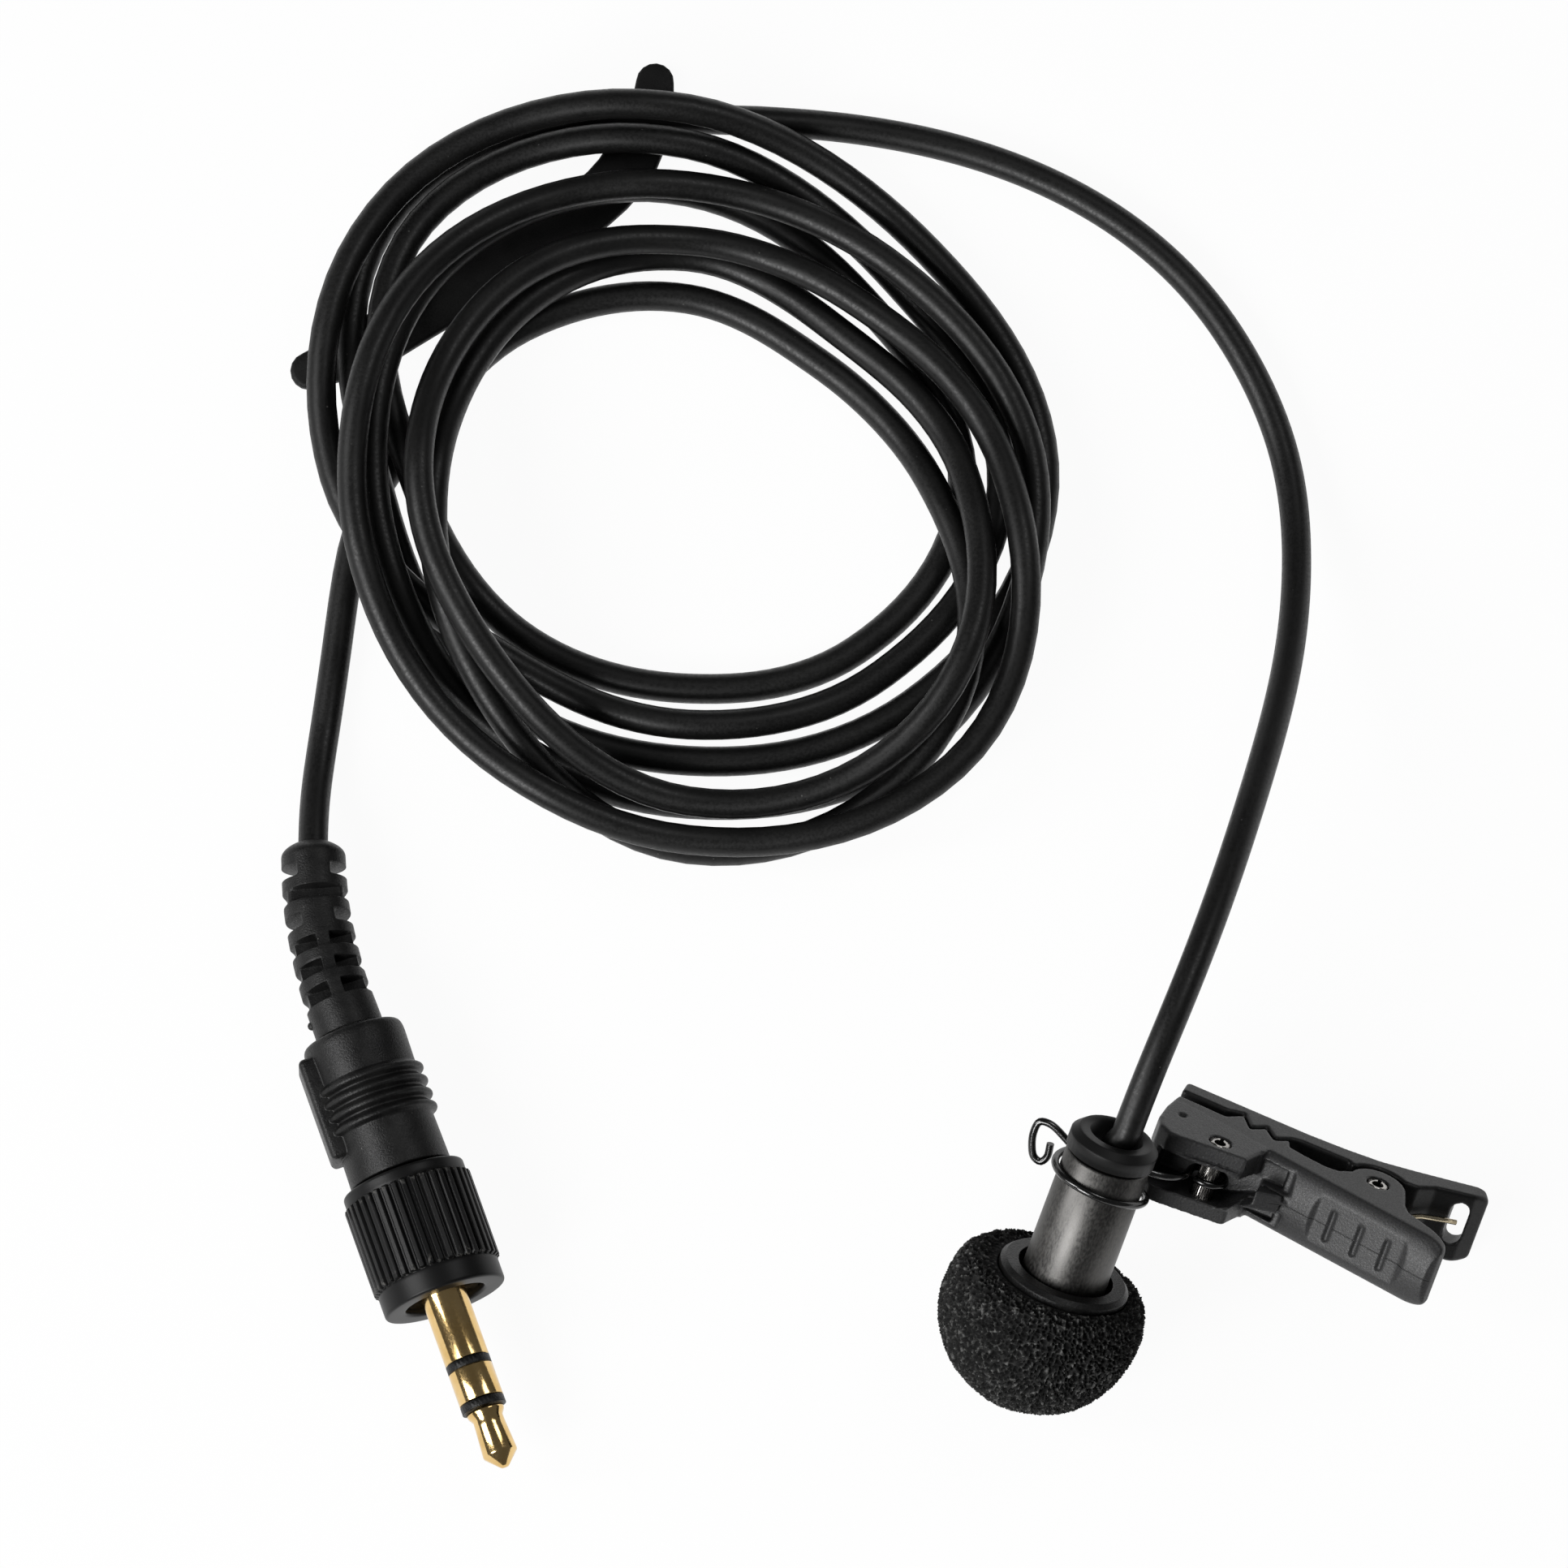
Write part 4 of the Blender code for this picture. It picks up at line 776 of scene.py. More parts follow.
@dataclass
class Windscreen(Assembly):
    """Foam ball with open cells, and the collar that holds it."""

    radius: float = 7.80 * MM
    centre: float = -12.60 * MM
    shift: Point = (-0.67 * MM, 0.30 * MM, 0.0)
    rim: float = 1.20 * MM
    face: float = -9.30 * MM
    flange_r: float = 5.15 * MM
    seat: float = -10.50 * MM
    sleeve_r: float = 4.45 * MM
    step: float = -13.50 * MM
    bore_r: float = 3.65 * MM
    floor: float = -15.80 * MM
    cell: float = 0.40 * MM
    pore: float = 0.42 * MM
    warp: float = 0.30
    wall: float = 0.30
    knot: float = 0.35
    swell: float = 0.10 * MM
    lump: float = 2.6 * MM
    fade: float = 0.8 * MM
    turns: int = 490
    rows: int = 172
    seed: int = 7

    def outline(self) -> list[Point]:
        """Radius and height from the front pole round the rim into the bore."""
        rim_r = math.sqrt(self.radius ** 2 - (self.face - self.centre) ** 2)
        tilt = math.asin((self.face - self.centre) / self.radius) - self.rim / self.radius
        line = [
            (self.radius * math.cos(turn), self.centre + self.radius * math.sin(turn))
            for turn in np.linspace(-math.pi / 2, tilt, self.rows)
        ]
        line[0] = (0.0, self.centre - self.radius)
        start, corner = Vector(line[-1]), Vector((rim_r, self.face))
        end = Vector((rim_r - self.rim, self.face))
        for share in np.linspace(0.0, 1.0, 18)[1:]:
            line.append(tuple(start.lerp(corner, share).lerp(corner.lerp(end, share), share)))
        mouth = self.flange_r + RUN
        for share in np.linspace(0.0, 1.0, 8)[1:]:
            line.append((end.x + (mouth - end.x) * share, self.face))
        line += [(mouth, self.seat), (self.sleeve_r, self.seat), (self.sleeve_r, self.step)]
        line += [(self.bore_r, self.step), (self.bore_r, self.floor), (0.0, self.floor)]
        return line

    def strut(self, point: Vector) -> float:
        """How near a point of the surface is to a strut.

        Args:
            point: The point.

        Returns:
            One on a strut, more on a knot of struts, nought in a pore.
        """
        warped = point / self.cell + self.warp * noise.noise_vector(point / (1.7 * self.cell))
        near, seeds = noise.voronoi(warped)
        share = min(1.0, max(0.0, (near[1] - near[0]) / self.wall))
        knot = max(0.0, 1.0 - (near[2] - near[0]) / self.knot)
        deep = 0.62 + 0.38 * noise.noise(seeds[0] * 3.1)
        return 1.0 - deep * smooth(share) + self.knot * knot

    def build(self) -> None:
        """Make the foam and refine the collar."""
        self.shop.refined("windscreen_collar", Body.WINDSCREEN, Slot.MOULDING)
        # Without a seed the warp of the cells would come from the clock.
        noise.seed_set(self.seed)
        form = lathe(self.outline(), self.turns)
        form.normal_update()
        layer = form.verts.layers.float.new("strut")
        mouth = self.flange_r + RUN
        for vert in form.verts:
            wide = math.hypot(vert.co.x, vert.co.y)
            if wide < mouth + SAME and vert.co.z > self.floor - SAME:
                # Inside the mouth the foam is painted as dark as a pore, as painted shade.
                vert[layer] = 0.3
                continue
            share = 1.0
            if abs(vert.co.z - self.face) < SAME:
                share = min(1.0, (wide - mouth) / self.fade)
            spot = vert.co + Vector(self.shift) * share
            strut = self.strut(spot)
            vert[layer] = strut
            swell = self.swell * noise.noise(spot / self.lump)
            vert.co = spot + vert.normal * (swell - self.pore * (1.0 - strut) * share)
        bmesh.ops.transform(form, matrix=MIC_PLACE, verts=form.verts)
        for vert in form.verts:
            vert.co.z = max(vert.co.z, 0.0)
        foam = finished(form, "windscreen_foam.cells", 75.0)
        self.shop.mount(foam, Body.WINDSCREEN, Slot.FOAM, "windscreen_foam")


@dataclass(frozen=True)
class RoundEnd:
    """An end of the clip whose corners are rounded."""

    start: float
    end: float
    share: float
    middle: float = 0.23 * MM

    def moved(self, spot: Vector) -> Vector:
        """Where a point goes when the sides are drawn in towards the end."""
        place = CLIP_PLACE.inverted() @ spot
        near = min(max((place.x - self.start) / (self.end - self.start), 0.0), 1.0)
        left = 1.0 - self.share * (1.0 - math.sqrt(1.0 - near * near))
        place.z = self.middle + (place.z - self.middle) * left
        return CLIP_PLACE @ place


@dataclass
class Clip(Assembly):
    """Wire holder, toothed clip, its pins and its spring."""

    wire_r: float = 0.30 * MM
    ring_r: float = 3.75 * MM
    pin: Point = (6.90 * MM, 7.20 * MM)
    eye_r: float = 1.40 * MM
    level: float = 0.10 * MM
    rise: float = 1.70 * MM
    leg: tuple[Point, ...] = ((5.30, 5.60), (4.20, 4.30), (2.40, 3.80))
    hook: tuple[Point, ...] = (
        (-1.30, -1.30), (-3.40, -0.30), (-5.40, 0.60), (-6.25, 0.45), (-6.42, -0.50),
        (-6.20, -1.60), (-5.75, -2.45), (-5.15, -2.62), (-4.80, -2.05), (-4.90, -0.90),
    )
    voxel: float = 0.11 * MM
    passes: int = 5
    grip_end: RoundEnd = RoundEnd(17.20 * MM, 19.15 * MM, 0.30)
    tail_end: RoundEnd = RoundEnd(18.50 * MM, 19.91 * MM, 0.20)

    def holder(self) -> bpy.types.Object:
        """The wire: an eye on the pin, a turn round the tube and a free hook."""
        route = []
        for turn in np.radians(np.linspace(-119.0, 171.0, 22)):
            x = self.pin[0] + self.eye_r * math.cos(turn)
            y = self.pin[1] + self.eye_r * math.sin(turn)
            route.append((x, y, self.level))
        route += [(x, y, self.level) for x, y in metres(self.leg)]
        for degrees in range(90, 451, 15):
            along = (degrees - 90) / 360
            drop = self.rise * max(0.0, (along - 0.45) / 0.55) ** 1.5
            turn = math.radians(degrees)
            x, y = self.ring_r * math.cos(turn), self.ring_r * math.sin(turn)
            route.append((x, y, self.level - drop))
        route += [(x, self.ring_r, z) for x, z in metres(self.hook)]
        line = through(route, 0.2 * MM)
        placed = np.array([MIC_PLACE @ Vector(point) for point in line])
        item = strand("holder_wire.bent", placed, self.wire_r)
        return self.shop.mount(item, Body.HOLDER, Slot.WIRE, "holder_wire")

    def build(self) -> None:
        """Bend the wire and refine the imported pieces."""
        self.holder()
        for node, body, end in (
            ("clip_base", Body.CLIP, self.grip_end),
            ("clip_jaw", Body.JAW, self.tail_end),
        ):
            self.shop.moulded(node, body, Slot.CLIP, self.voxel, self.passes, end.moved)
        self.shop.refined("holder_pin", Body.CLIP, Slot.PIN)
        self.shop.refined("jaw_pin", Body.CLIP, Slot.PIN)
        self.shop.refined("jaw_spring", Body.CLIP, Slot.SPRING, 60.0)


@dataclass
class Plug(Assembly):
    """Knurled ring, ribbed moulding and gold contacts."""

    ring_length: float = 10.0 * MM
    rear_lip: float = 0.95 * MM
    front_lip: float = 1.85 * MM
    lip_r: float = 4.82 * MM
    knurl_r: float = 5.05 * MM
    flute: float = 0.30 * MM
    flutes: int = 40
    per_flute: int = 10
    undercut: float = 0.18 * MM
    overlap: float = 0.10 * MM
    slope: float = 0.25 * MM
    ring_edge: float = 0.28 * MM
    chamfer: float = 0.16 * MM
    scuffed: float = 1.3 * MM
    mouth_r: float = 3.15 * MM
    mouth: float = 1.40 * MM
    spigot_r: float = 3.20 * MM
    body_length: float = 11.70 * MM
    body_r: float = 4.00 * MM
    bore_r: float = 1.85 * MM
    rib: float = 0.40 * MM
    ribs: int = 4
    pitch: float = 1.08 * MM
    ribs_at: float = 6.10 * MM
    face_r: float = 3.15 * MM
    plate: Point = (4.00 * MM, 1.90 * MM, 8.25 * MM)
    plate_at: float = 6.60 * MM
    plate_rise: float = 0.70 * MM
    plate_edge: float = 0.45 * MM
    rib_edge: float = 0.13 * MM
    rear_edge: float = 0.95 * MM

    def ring(self) -> bpy.types.Object:
        """The lock ring: a fluted sleeve between two smooth lips."""
        low, high = -self.ring_length + self.rear_lip, -self.front_lip
        groove = self.lip_r - self.undercut
        bore = self.spigot_r + RUN
        outline = [
            (bore, -self.mouth),
            (self.mouth_r, -self.mouth),
            (self.mouth_r, 0.0),
            (self.lip_r, 0.0),
            (self.lip_r, high + self.overlap),
            (groove, high - self.slope),
            (groove, low + self.slope),
            (self.lip_r, low - self.overlap),
            (self.lip_r, -self.ring_length),
            (bore, -self.ring_length),
            (bore, -self.mouth),
        ]
        form = lathe(rounded(outline, self.ring_edge, 5), 128)
        worn = form.verts.layers.float.new("worn")
        steps = self.flutes * self.per_flute
        made = bmesh.ops.create_circle(form, segments=steps, radius=self.knurl_r)
        loop = sorted(made["verts"], key=lambda vert: math.atan2(vert.co.y, vert.co.x))
        base = []
        for vert in loop:
            turn = math.atan2(vert.co.y, vert.co.x) * self.flutes / (2 * math.pi)
            share = abs((turn % 1.0) - 0.5) * 2.0
            dip = max(0.0, min(1.0, (share - 0.45) / 0.4))
            scale = (self.knurl_r - self.flute * smooth(dip)) / self.knurl_r
            base.append((vert.co.x * scale, vert.co.y * scale, 1.0 - dip))
        length = high - low
        shrink = (self.lip_r - self.overlap) / self.knurl_r
        rings = (
            (0.0, shrink, 0.6),
            (self.chamfer, 1.0, 0.8),
            (self.scuffed, 1.0, 0.0),
            (length - self.scuffed, 1.0, 0.0),
            (length - self.chamfer, 1.0, 1.0),
            (length, shrink, 0.9),
        )
        for index, (rise, scale, wear) in enumerate(rings):
            if index:
                loop = extruded(form, loop)
            for vert, (x, y, crest) in zip(loop, base):
                vert.co = (x * scale, y * scale, low + rise)
                vert[worn] = crest * wear
        bmesh.ops.recalc_face_normals(form, faces=form.faces)
        bmesh.ops.transform(form, matrix=PLUG_PLACE, verts=form.verts)
        item = finished(form, "lock_ring.knurled", 38.0)
        return self.shop.mount(item, Body.LOCK_RING, Slot.RING, "lock_ring")

    def body(self) -> bpy.types.Object:
        """The moulding: ribs, rounded rear shoulder and a bare side plate."""
        shoulder = -self.ring_length - GAP
        rear = shoulder - self.body_length
        neck = -self.mouth - 2 * RUN
        stem = shoulder - self.body_length / 4
        first = shoulder - self.ribs_at + self.pitch * self.ribs / 2
        outline = [(0.0, stem), (self.bore_r, stem), (self.bore_r, neck)]
        outline += [(self.spigot_r, neck), (self.spigot_r, shoulder), (self.body_r, shoulder)]
        low, high = self.body_r - self.rib * 0.25, self.body_r + self.rib
        for index in range(self.ribs):
            top = first - index * self.pitch
            for radius, drop in ((low, 0.0), (high, 0.22), (high, 0.48), (low, 0.85)):
                outline.append((radius, top - self.pitch * drop))
        outline += [
            (self.body_r, first - self.pitch * self.ribs),
            (self.body_r, rear + 0.05 * MM),
            (self.face_r - 0.1 * MM, rear),
            (0.0, rear),
        ]
        line = rounded(outline[:-3], self.rib_edge, 3)[:-1]
        line += rounded(outline[-4:], self.rear_edge, 8)[1:]
        form = lathe(line, 96)
        wide, deep, long = self.plate
        side = bmesh.ops.create_cube(form, size=1.0)["verts"]
        bmesh.ops.scale(form, vec=(wide, deep, long), verts=side)
        middle = (0.0, -self.body_r - self.plate_rise + deep / 2, shoulder - self.plate_at)
        bmesh.ops.translate(form, vec=middle, verts=side)
        edges = list({edge for vert in side for edge in vert.link_edges})
        bevelled(form, edges, self.plate_edge, 5)
        bmesh.ops.transform(form, matrix=PLUG_PLACE, verts=form.verts)
        item = finished(form, "plug_body.moulding", 42.0)
        return self.shop.mount(item, Body.MICROPHONE, Slot.MOULDING, "plug_body")

    def build(self) -> list[bpy.types.Object]:
        """Make the plug's pieces, which hang on the cord."""
        pieces = [self.ring(), self.body()]
        for node in ("sleeve_contact", "ring_contact", "tip_contact"):
            item = self.shop.refined(node, Body.MICROPHONE, Slot.GOLD, 44.0)
            sides = item.modifiers.new("straight_sides", "WEIGHTED_NORMAL")
            sides.keep_sharp = True
            sides.weight = 100
            pieces.append(item)
        for node in ("outer_insulator", "inner_insulator"):
            pieces.append(self.shop.refined(node, Body.MICROPHONE, Slot.MOULDING))
        return pieces


@dataclass
class BendRelief(Assembly):
    """The grooved rubber tail behind the plug."""

    base_r: float = 2.68 * MM
    cap_r: float = 2.47 * MM
    dome: float = 1.15 * MM
    core: float = 1.60 * MM
    column: float = 1.25 * MM
    groove: float = 0.36 * MM
    slot: float = 0.92 * MM
    pitch: float = 2.05 * MM
    first: float = 2.85 * MM
    slots: int = 6
    web: float = 1.05 * MM
    web_drop: float = 0.04 * MM
    edge: float = 0.08 * MM
    behind: float = -22.30 * MM
    straight: float = 0.80 * MM
    nub: Point = (2.60 * MM, 1.35 * MM, 0.34 * MM)
    around: int = 96
    step: float = 0.10 * MM
    route: tuple[Point, ...] = (
        (-66.93, 19.80, 4.95), (-67.32, 21.00, 4.75), (-67.82, 22.95, 4.45),
        (-68.35, 25.45, 4.15), (-68.65, 27.35, 3.90), (-68.83, 29.40, 3.68),
        (-68.92, 31.40, 3.60),
    )

    def line(self) -> np.ndarray:
        """The middle of the relief from the plug to the start of its dome."""
        start = PLUG_PLACE @ Vector((0.0, 0.0, self.behind))
        bend = PLUG_PLACE @ Vector((0.0, 0.0, self.behind - self.straight))
        return through([tuple(start), tuple(bend), *metres(self.route)], self.step)

    def reach(self, along: float, turn: float, radius: float) -> float:
        """How far the surface lies from the middle.

        Args:
            along: The place along the relief.
            turn: The angle from its right side.
            radius: Its radius there, grooves left out.

        Returns:
            The distance.
        """
        index = round((along - self.first) / self.pitch)
        if not 0 <= index < self.slots:
            return radius
        off = abs(along - self.first - index * self.pitch) - self.slot / 2
        share = min(1.0, max(0.0, 0.5 - off / (2 * self.edge)))
        side, up = max(abs(math.cos(turn)), 1e-6), max(abs(math.sin(turn)), 1e-6)
        wall = (radius - self.groove) / side
        if index in (3, 5):
            inner = self.column / side
        elif index == 4:
            inner = min(wall, self.core / up)
        elif radius * side < self.web / 2:
            inner = radius - self.web_drop
        else:
            inner = min(wall, 0.8 * self.core / up)
        return radius + (min(inner, radius) - radius) * smooth(share)

    def build(self) -> bpy.types.Object:
        """Draw the relief out along its line, groove by groove."""
        line = self.line()
        count = len(line)
        way = (line[-1] - line[-2]) / np.linalg.norm(line[-1] - line[-2])
        caps = np.linspace(0.0, 1.0, 13)[1:]
        line = np.vstack([line, [line[-1] + self.dome * share * way for share in caps]])
        radii = np.linspace(self.base_r, self.cap_r, count)
        radii = np.append(radii, self.cap_r * (1.0 - 0.47 * caps ** 2.2))
        along = np.append(0.0, np.cumsum(np.linalg.norm(np.diff(line, axis=0), axis=1)))
        headings = [Vector(way).normalized() for way in np.gradient(line, axis=0)]
        sides = [heading.cross(Vector((0.0, 0.0, 1.0))).normalized() for heading in headings]
        form = bmesh.new()
        made = bmesh.ops.create_circle(form, segments=self.around, radius=1.0, cap_ends=True)
        loop = made["verts"]
        turns = [math.atan2(vert.co.y, vert.co.x) for vert in loop]
        for index, (spot, heading, side) in enumerate(zip(line, headings, sides)):
            up = side.cross(heading)
            if index:
                loop = extruded(form, loop)
            for vert, turn in zip(loop, turns):
                out = float(self.reach(along[index], turn, radii[index]))
                vert.co = Vector(spot) + (math.cos(turn) * side + math.sin(turn) * up) * out
        bmesh.ops.contextual_create(form, geom=loop)
        out, back, size = self.nub
        nub = bmesh.ops.create_uvsphere(form, u_segments=24, v_segments=14, radius=size)["verts"]
        place = Vector(line[0]) - out * sides[0] + back * headings[0]
        bmesh.ops.translate(form, vec=place, verts=nub)
        bmesh.ops.recalc_face_normals(form, faces=form.faces)
        item = finished(form, "bend_relief.grooved", 40.0)
        return self.shop.mount(item, Body.MICROPHONE, Slot.RELIEF, "bend_relief")


@dataclass
class Cord(Assembly):
    """The cord from the bush through the coil to the bend relief, and its tie strap."""

    radius: float = 1.15 * MM
    centre: Point = (-40.28 * MM, 61.29 * MM)
    radii: tuple[Point, ...] = (
        (28.9, 31.6, 23.9, 22.2, 21.6, 24.2, 27.3, 26.2),
        (28.7, 31.7, 27.1, 19.8, 19.2, 21.1, 24.0, 22.8),
        (26.4, 29.0, 21.1, 17.2, 15.9, 18.2, 21.0, 19.9),
        (23.2, 25.2, 24.1, 24.4, 25.0, 27.2, 26.5, 23.0),
        (22.9, 25.2, 25.7, 26.9, 28.8, 30.7, 24.3, 19.0),
        (18.7, 20.2, 20.6, 21.6, 25.6, 26.8, 21.1, 16.6),
        (18.2, 18.6, 19.3, 22.9, 28.8, 27.7, 18.5, 14.0),
        (14.9, 17.9, 23.8, 41.2, 105.0),
    )
    stations: float = 58.75
    levels: tuple[tuple[int, int], ...] = (
        (0, 1), (6, 3), (14, 2), (24, 4), (32, 7), (40, 6), (48, 5), (56, 0)
    )
    clear: float = 0.72 * MM
    sag: float = 0.004 * MM
    settling: int = 3000
    per_turn: int = 96
    lean: float = 0.60 * MM
    lead: tuple[Point, ...] = (
        (-6.35, 8.05, 19.60), (-5.22, 10.30, 20.80), (-4.10, 12.70, 21.40),
        (-3.04, 15.25, 21.50), (-2.03, 17.90, 21.10), (-0.10, 23.45, 19.40),
        (1.63, 29.25, 16.80), (3.22, 35.15, 13.60), (4.70, 41.10, 10.20),
        (5.85, 47.05, 6.90), (6.37, 52.90, 4.10), (6.37, 58.45, 2.30),
        (5.80, 63.75, 1.40), (3.95, 68.65, 1.18), (0.22, 75.37, 1.18),
        (-3.50, 79.57, 1.18), (-7.25, 82.58, 1.18), (-10.95, 84.84, 1.18),
        (-18.40, 87.92, 1.18), (-25.85, 89.51, 1.25), (-29.60, 90.00, 1.50),
    )
    tail: tuple[Point, ...] = ((-68.70, 38.10, 1.75), (-68.91, 35.30, 2.75))
    relief_end: Point = (-68.97, 32.49, 3.56)
    relief_way: Point = (-0.03, 0.998, -0.04)
    strap: tuple[Point, ...] = (
        (-42.85, 93.55), (-43.20, 90.90), (-45.30, 86.40), (-48.50, 83.20),
        (-55.20, 78.80), (-61.50, 74.80), (-66.00, 72.05), (-69.35, 70.65),
    )
    strap_width: float = 4.2 * MM
    strap_thick: float = 1.0 * MM
    strap_edge: float = 0.30 * MM

    def plan(self) -> tuple[np.ndarray, np.ndarray]:
        """The coil seen from above, and which strand lies on which.

        Returns:
            The plan points, and a level for each.
        """
        radii = np.array([value * MM for turn in self.radii for value in turn])
        bearing = np.arange(int(self.stations * self.per_turn / 8) + 1) * 8.0 / self.per_turn
        near = bearing.astype(int)
        part = bearing - near
        before, here = radii[np.maximum(near - 1, 0)], radii[near]
        after, beyond = radii[near + 1], radii[near + 2]
        reach = 0.5 * (
            2 * here
            + (after - before) * part
            + (2 * before - 5 * here + 4 * after - beyond) * part ** 2
            + (3 * here - before - 3 * after + beyond) * part ** 3
        )
        angle = np.radians(90.0 + 45.0 * bearing)
        plan = np.column_stack([reach * np.cos(angle), reach * np.sin(angle)]) + self.centre
        level = np.zeros(len(plan), int)
        for start, height in self.levels:
            level[bearing >= start] = height
        return plan, level

    def heights(self, plan: np.ndarray, level: np.ndarray, floor: np.ndarray) -> np.ndarray:
        """Let each strand sink until it lies on the table or on the strands below.

        Args:
            plan: The coil's plan points.
            level: The level of each.
            floor: The lowest height of each.

        Returns:
            The height of each point.
        """
        clear = 2 * self.radius + self.clear
        apart = np.linalg.norm(plan[:, None] - plan[None], axis=2)
        order = np.arange(len(plan))
        other = np.abs(order[:, None] - order[None]) > self.per_turn // 4
        over, under = np.nonzero((apart < clear) & other & (level[:, None] > level[None]))
        lift = np.sqrt(clear ** 2 - apart[over, under] ** 2)
        top, first = np.unique(over, return_index=True)
        height = floor.copy()
        for _ in range(self.settling):
            ends = np.pad(height, 2, mode="edge")
            stiff = (10 * height + 4 * (ends[1:-3] + ends[3:-1]) - ends[:-4] - ends[4:]) / 16
            slack = 0.5 * height + 0.25 * (ends[1:-3] + ends[3:-1])
            height = np.maximum(floor, 0.8 * stiff + 0.2 * slack - self.sag)
            lifted = np.maximum.reduceat(height[under] + lift, first)
            height[top] = np.maximum(height[top], lifted)
            height[:3], height[-2:] = floor[:3], floor[-2:]
        eased = height.copy()
        eased[1:-1] = 0.2 * height[:-2] + 0.6 * height[1:-1] + 0.2 * height[2:]
        return eased

    def route(self) -> np.ndarray:
        """The points of the cord from inside the bush to the end of the bend relief."""
        plan, level = self.plan()
        strap = through([(x, y, 0.0) for x, y in metres(self.strap)], 1.6 * MM)[:, :2]
        reach = np.linalg.norm(plan[:, None] - strap[None], axis=2).min(axis=1)
        table = self.radius + 0.02 * MM
        over = self.strap_thick + GAP + self.radius
        floor = np.where(reach < self.strap_width / 2 + self.radius, over, table)
        coil = np.column_stack([plan, self.heights(plan, level, floor)])
        side, _, axis = (np.array(MIC_PLACE.to_3x3().col[k]) for k in range(3))
        centre = np.array(MIC_PLACE.translation)
        way = (coil[1] - coil[0]) / np.linalg.norm(coil[1] - coil[0])
        lead = through(
            [
                tuple(centre + (REAR - 4.5 * MM) * axis),
                tuple(centre + (REAR - 1.2 * MM) * axis),
                tuple(centre + REAR * axis + self.lean * side),
                *metres(self.lead),
                tuple(coil[0] - (GAP + 2 * self.radius) * way),
                tuple(coil[0] - GAP * way),
            ],
            1.0 * MM,
        )
        lead = relaxed(lead, 6, 40)
        way = (coil[-1] - coil[-2]) / np.linalg.norm(coil[-1] - coil[-2])
        end, back = np.array(self.relief_end) * MM, np.array(self.relief_way)
        tail = through(
            [
                tuple(coil[-1] + GAP * way),
                tuple(coil[-1] + (GAP + 2 * self.radius) * way),
                *metres(self.tail),
                tuple(end + 1.2 * self.radius * back),
                tuple(end - 0.6 * MM * back),
            ],
            0.8 * MM,
        )
        line = np.vstack([lead, coil, relaxed(tail, 1, 20)])
        line[:, 2] = np.maximum(line[:, 2], table)
        return line

    def tie(self) -> bpy.types.Object:
        """The strap under the coil, with rounded edges."""
        form = self.shop.merged("cable_tie")
        bmesh.ops.dissolve_limit(
            form, angle_limit=math.radians(2.0), verts=form.verts, edges=form.edges
        )
        rims = [edge for edge in form.edges if edge.calc_face_angle(0.0) > math.radians(60.0)]
        bevelled(form, rims, self.strap_edge, 4)
        item = finished(form, "cable_tie.strap", 40.0)
        item.data.materials.clear()
        return self.shop.mount(item, Body.MICROPHONE, Slot.STRAP, "cable_tie")

    def build(self, plug: list[bpy.types.Object]) -> None:
        """Lay the cord and its strap.

        Args:
            plug: The pieces at the cord's far end; not used.
        """
        line = self.route()
        item = strand("cord.jacket", line, self.radius)
        nodes = ("cable_mic_lead", "cable_coil", "cable_plug_lead")
        self.shop.mount(item, Body.MICROPHONE, Slot.CORD, *nodes)
        strap = self.tie()


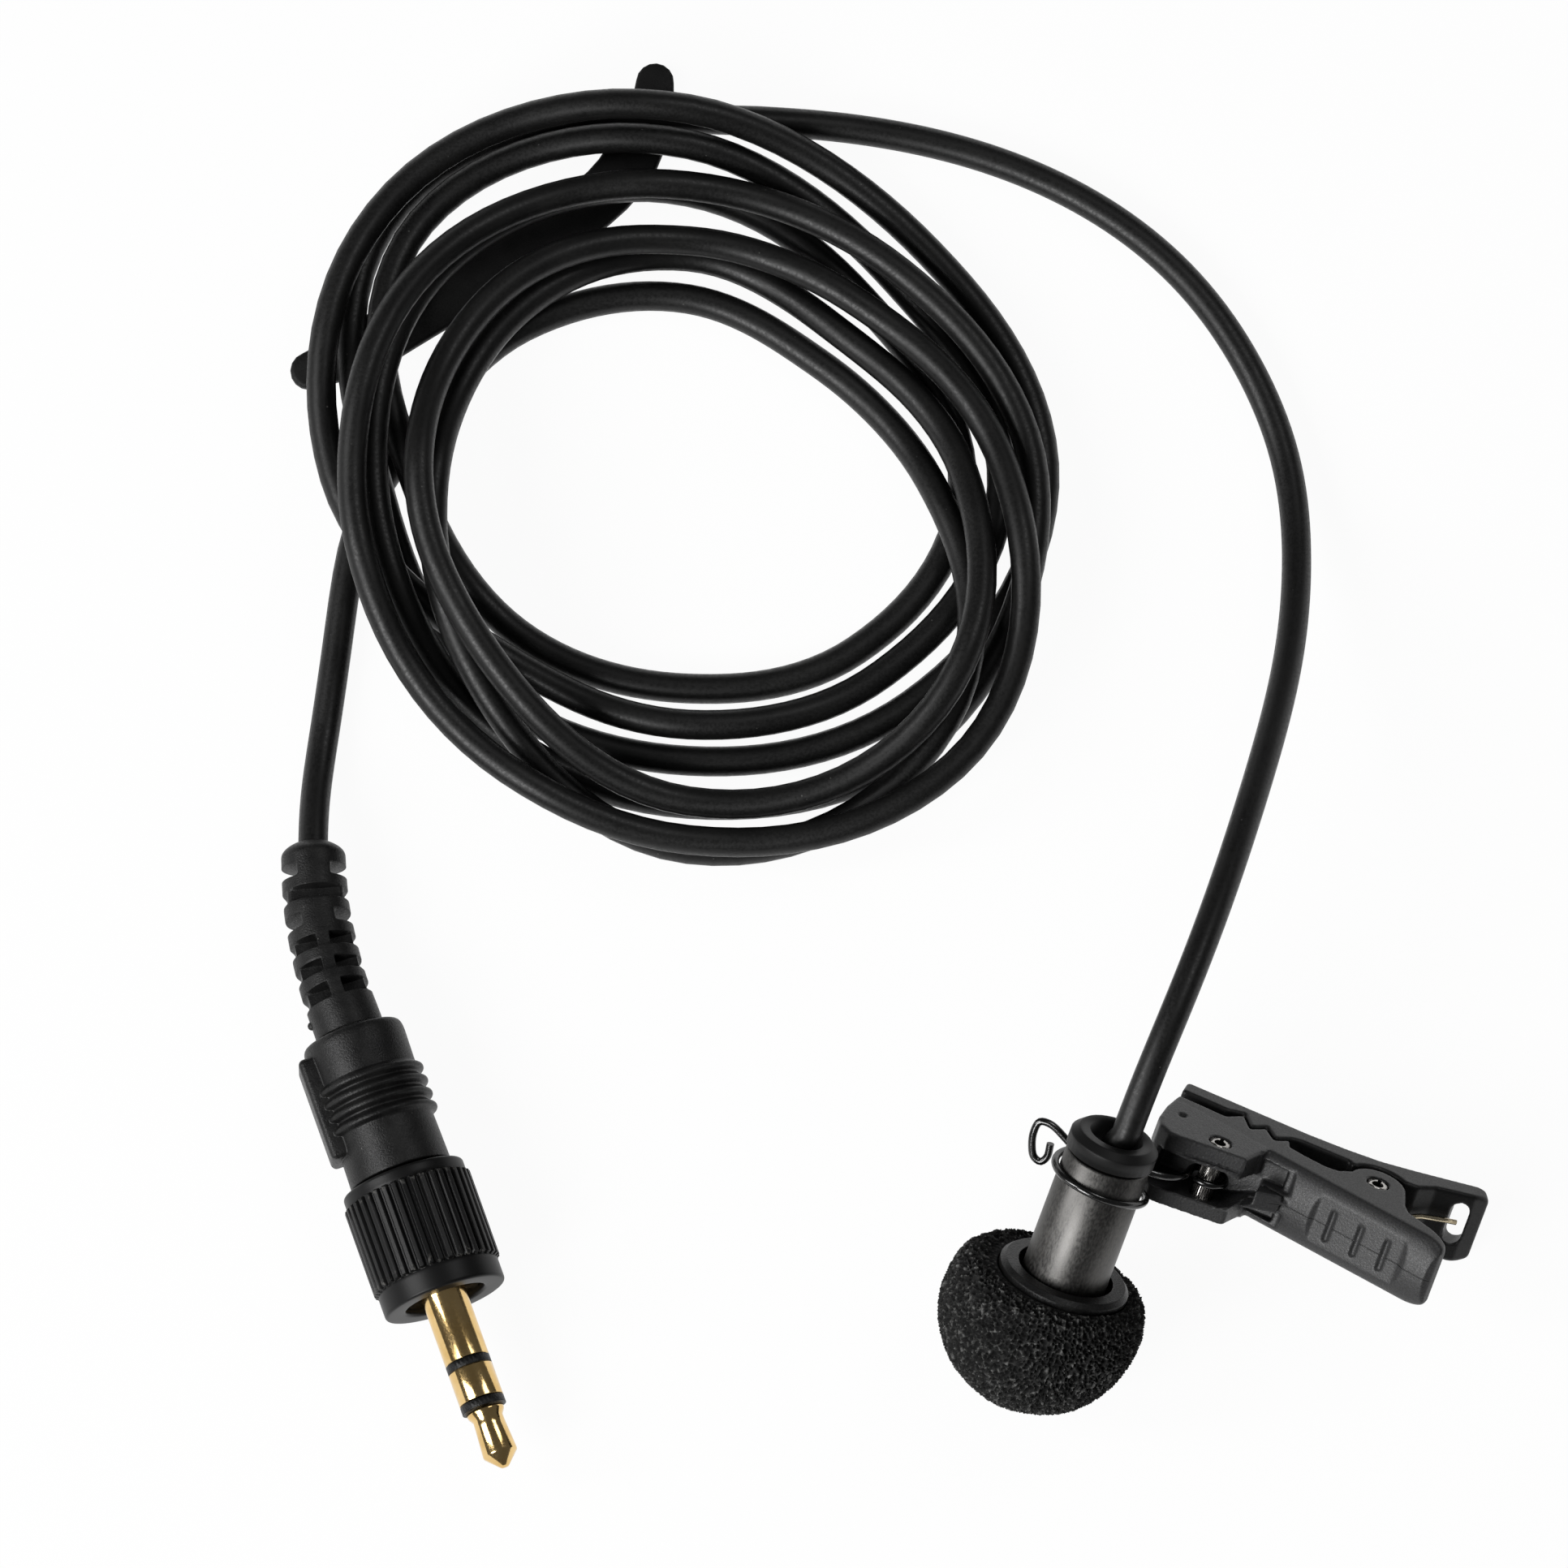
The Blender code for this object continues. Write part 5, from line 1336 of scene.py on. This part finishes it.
@dataclass
class Studio:
    """Pale floor, soft light and the camera of the photograph."""

    aim: Point = (-32.95 * MM, 38.15 * MM, 0.0)
    elevation: float = 76.0
    away: float = 4.0
    lens: float = 1200.0
    floor_drop: float = 0.05 * MM
    glow: float = 0.95
    ambient: float = 0.10

    def camera(self) -> None:
        """Place the camera."""
        data = bpy.data.cameras.new("camera")
        data.lens = self.lens
        data.sensor_width = 36.0
        data.clip_start = 0.05
        data.clip_end = 100.0
        item = bpy.data.objects.new("camera", data)
        bpy.context.scene.collection.objects.link(item)
        tilt = math.radians(self.elevation)
        back = Vector((0.0, -math.cos(tilt), math.sin(tilt)))
        item.location = Vector(self.aim) + self.away * back
        item.rotation_euler = (math.radians(90.0 - self.elevation), 0.0, 0.0)
        bpy.context.scene.camera = item

    def lamp(self, name: str, place: Point, size: Point, power: float) -> None:
        """Hang a softbox of a power in watts, placed from the object that it faces."""
        data = bpy.data.lights.new(name, "AREA")
        data.shape = "RECTANGLE"
        data.size, data.size_y = size
        data.energy = power
        item = bpy.data.objects.new(name, data)
        item.location = Vector(self.aim) + Vector(place)
        item.rotation_euler = Vector(place).to_track_quat("Z", "Y").to_euler()
        bpy.context.scene.collection.objects.link(item)

    def floor(self) -> None:
        """Lay a pale floor that keeps the object's shadow."""
        form = bmesh.new()
        bmesh.ops.create_grid(form, x_segments=1, y_segments=1, size=3.0)
        item = finished(form, "floor")
        item.location = (self.aim[0], self.aim[1], -self.floor_drop)
        paint = Paint("floor_paper")
        seen = paint.node("ShaderNodeLightPath", output="Is Camera Ray")
        mirrored = paint.node("ShaderNodeLightPath", output="Is Glossy Ray")
        through_glass = paint.node("ShaderNodeLightPath", output="Is Transmission Ray")
        paint.put(Base_Color=(0.86, 0.86, 0.86, 1.0), Roughness=0.9, Specular_IOR_Level=0.1)
        glow = paint.node(
            "ShaderNodeEmission", None, {"Color": (1.0, 1.0, 1.0, 1.0), "Strength": 1.0}
        )
        share = (seen + mirrored + through_glass).least(1.0) * self.glow
        mixed = paint.node(
            "ShaderNodeMixShader",
            None,
            {0: share, 1: Link(paint, paint.shader.outputs[0]), 2: glow},
        )
        sheet = paint.tree.nodes["Material Output"].inputs["Surface"]
        paint.tree.links.new(mixed.socket, sheet)
        item.data.materials.append(paint.material)

    def world(self) -> None:
        """Light the room evenly and show it white."""
        world = bpy.data.worlds.new("studio")
        world.use_nodes = True
        tree = world.node_tree
        back = tree.nodes["Background"]
        path = tree.nodes.new("ShaderNodeLightPath")
        strength = tree.nodes.new("ShaderNodeMapRange")
        strength.inputs[3].default_value = self.ambient
        strength.inputs[4].default_value = 1.0
        tree.links.new(path.outputs["Is Camera Ray"], strength.inputs[0])
        tree.links.new(strength.outputs[0], back.inputs["Strength"])
        back.inputs["Color"].default_value = (1.0, 1.0, 1.0, 1.0)
        bpy.context.scene.world = world

    def build(self) -> None:
        """Set up the studio."""
        bpy.context.scene.view_settings.view_transform = "Standard"
        self.world()
        self.floor()
        self.lamp("key_corner", (-0.45, -0.50, 0.52), (0.36, 0.36), 5.6)
        self.lamp("left_strip", (-0.62, -0.04, 0.50), (0.20, 0.46), 3.0)
        self.lamp("back_top", (0.36, 0.31, 0.73), (0.20, 0.34), 0.9)
        self.camera()


def main() -> None:
    """Build the dressed microphone."""
    logging.basicConfig(level=logging.INFO, format="%(name)s: %(message)s")
    shop = Workshop(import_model())
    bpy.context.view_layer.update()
    Studio().build()
    Cord(shop).build([*Plug(shop).build(), BendRelief(shop).build()])
    Microphone(shop).build()
    Windscreen(shop).build()
    Clip(shop).build()


if __name__ == "__main__":
    main()
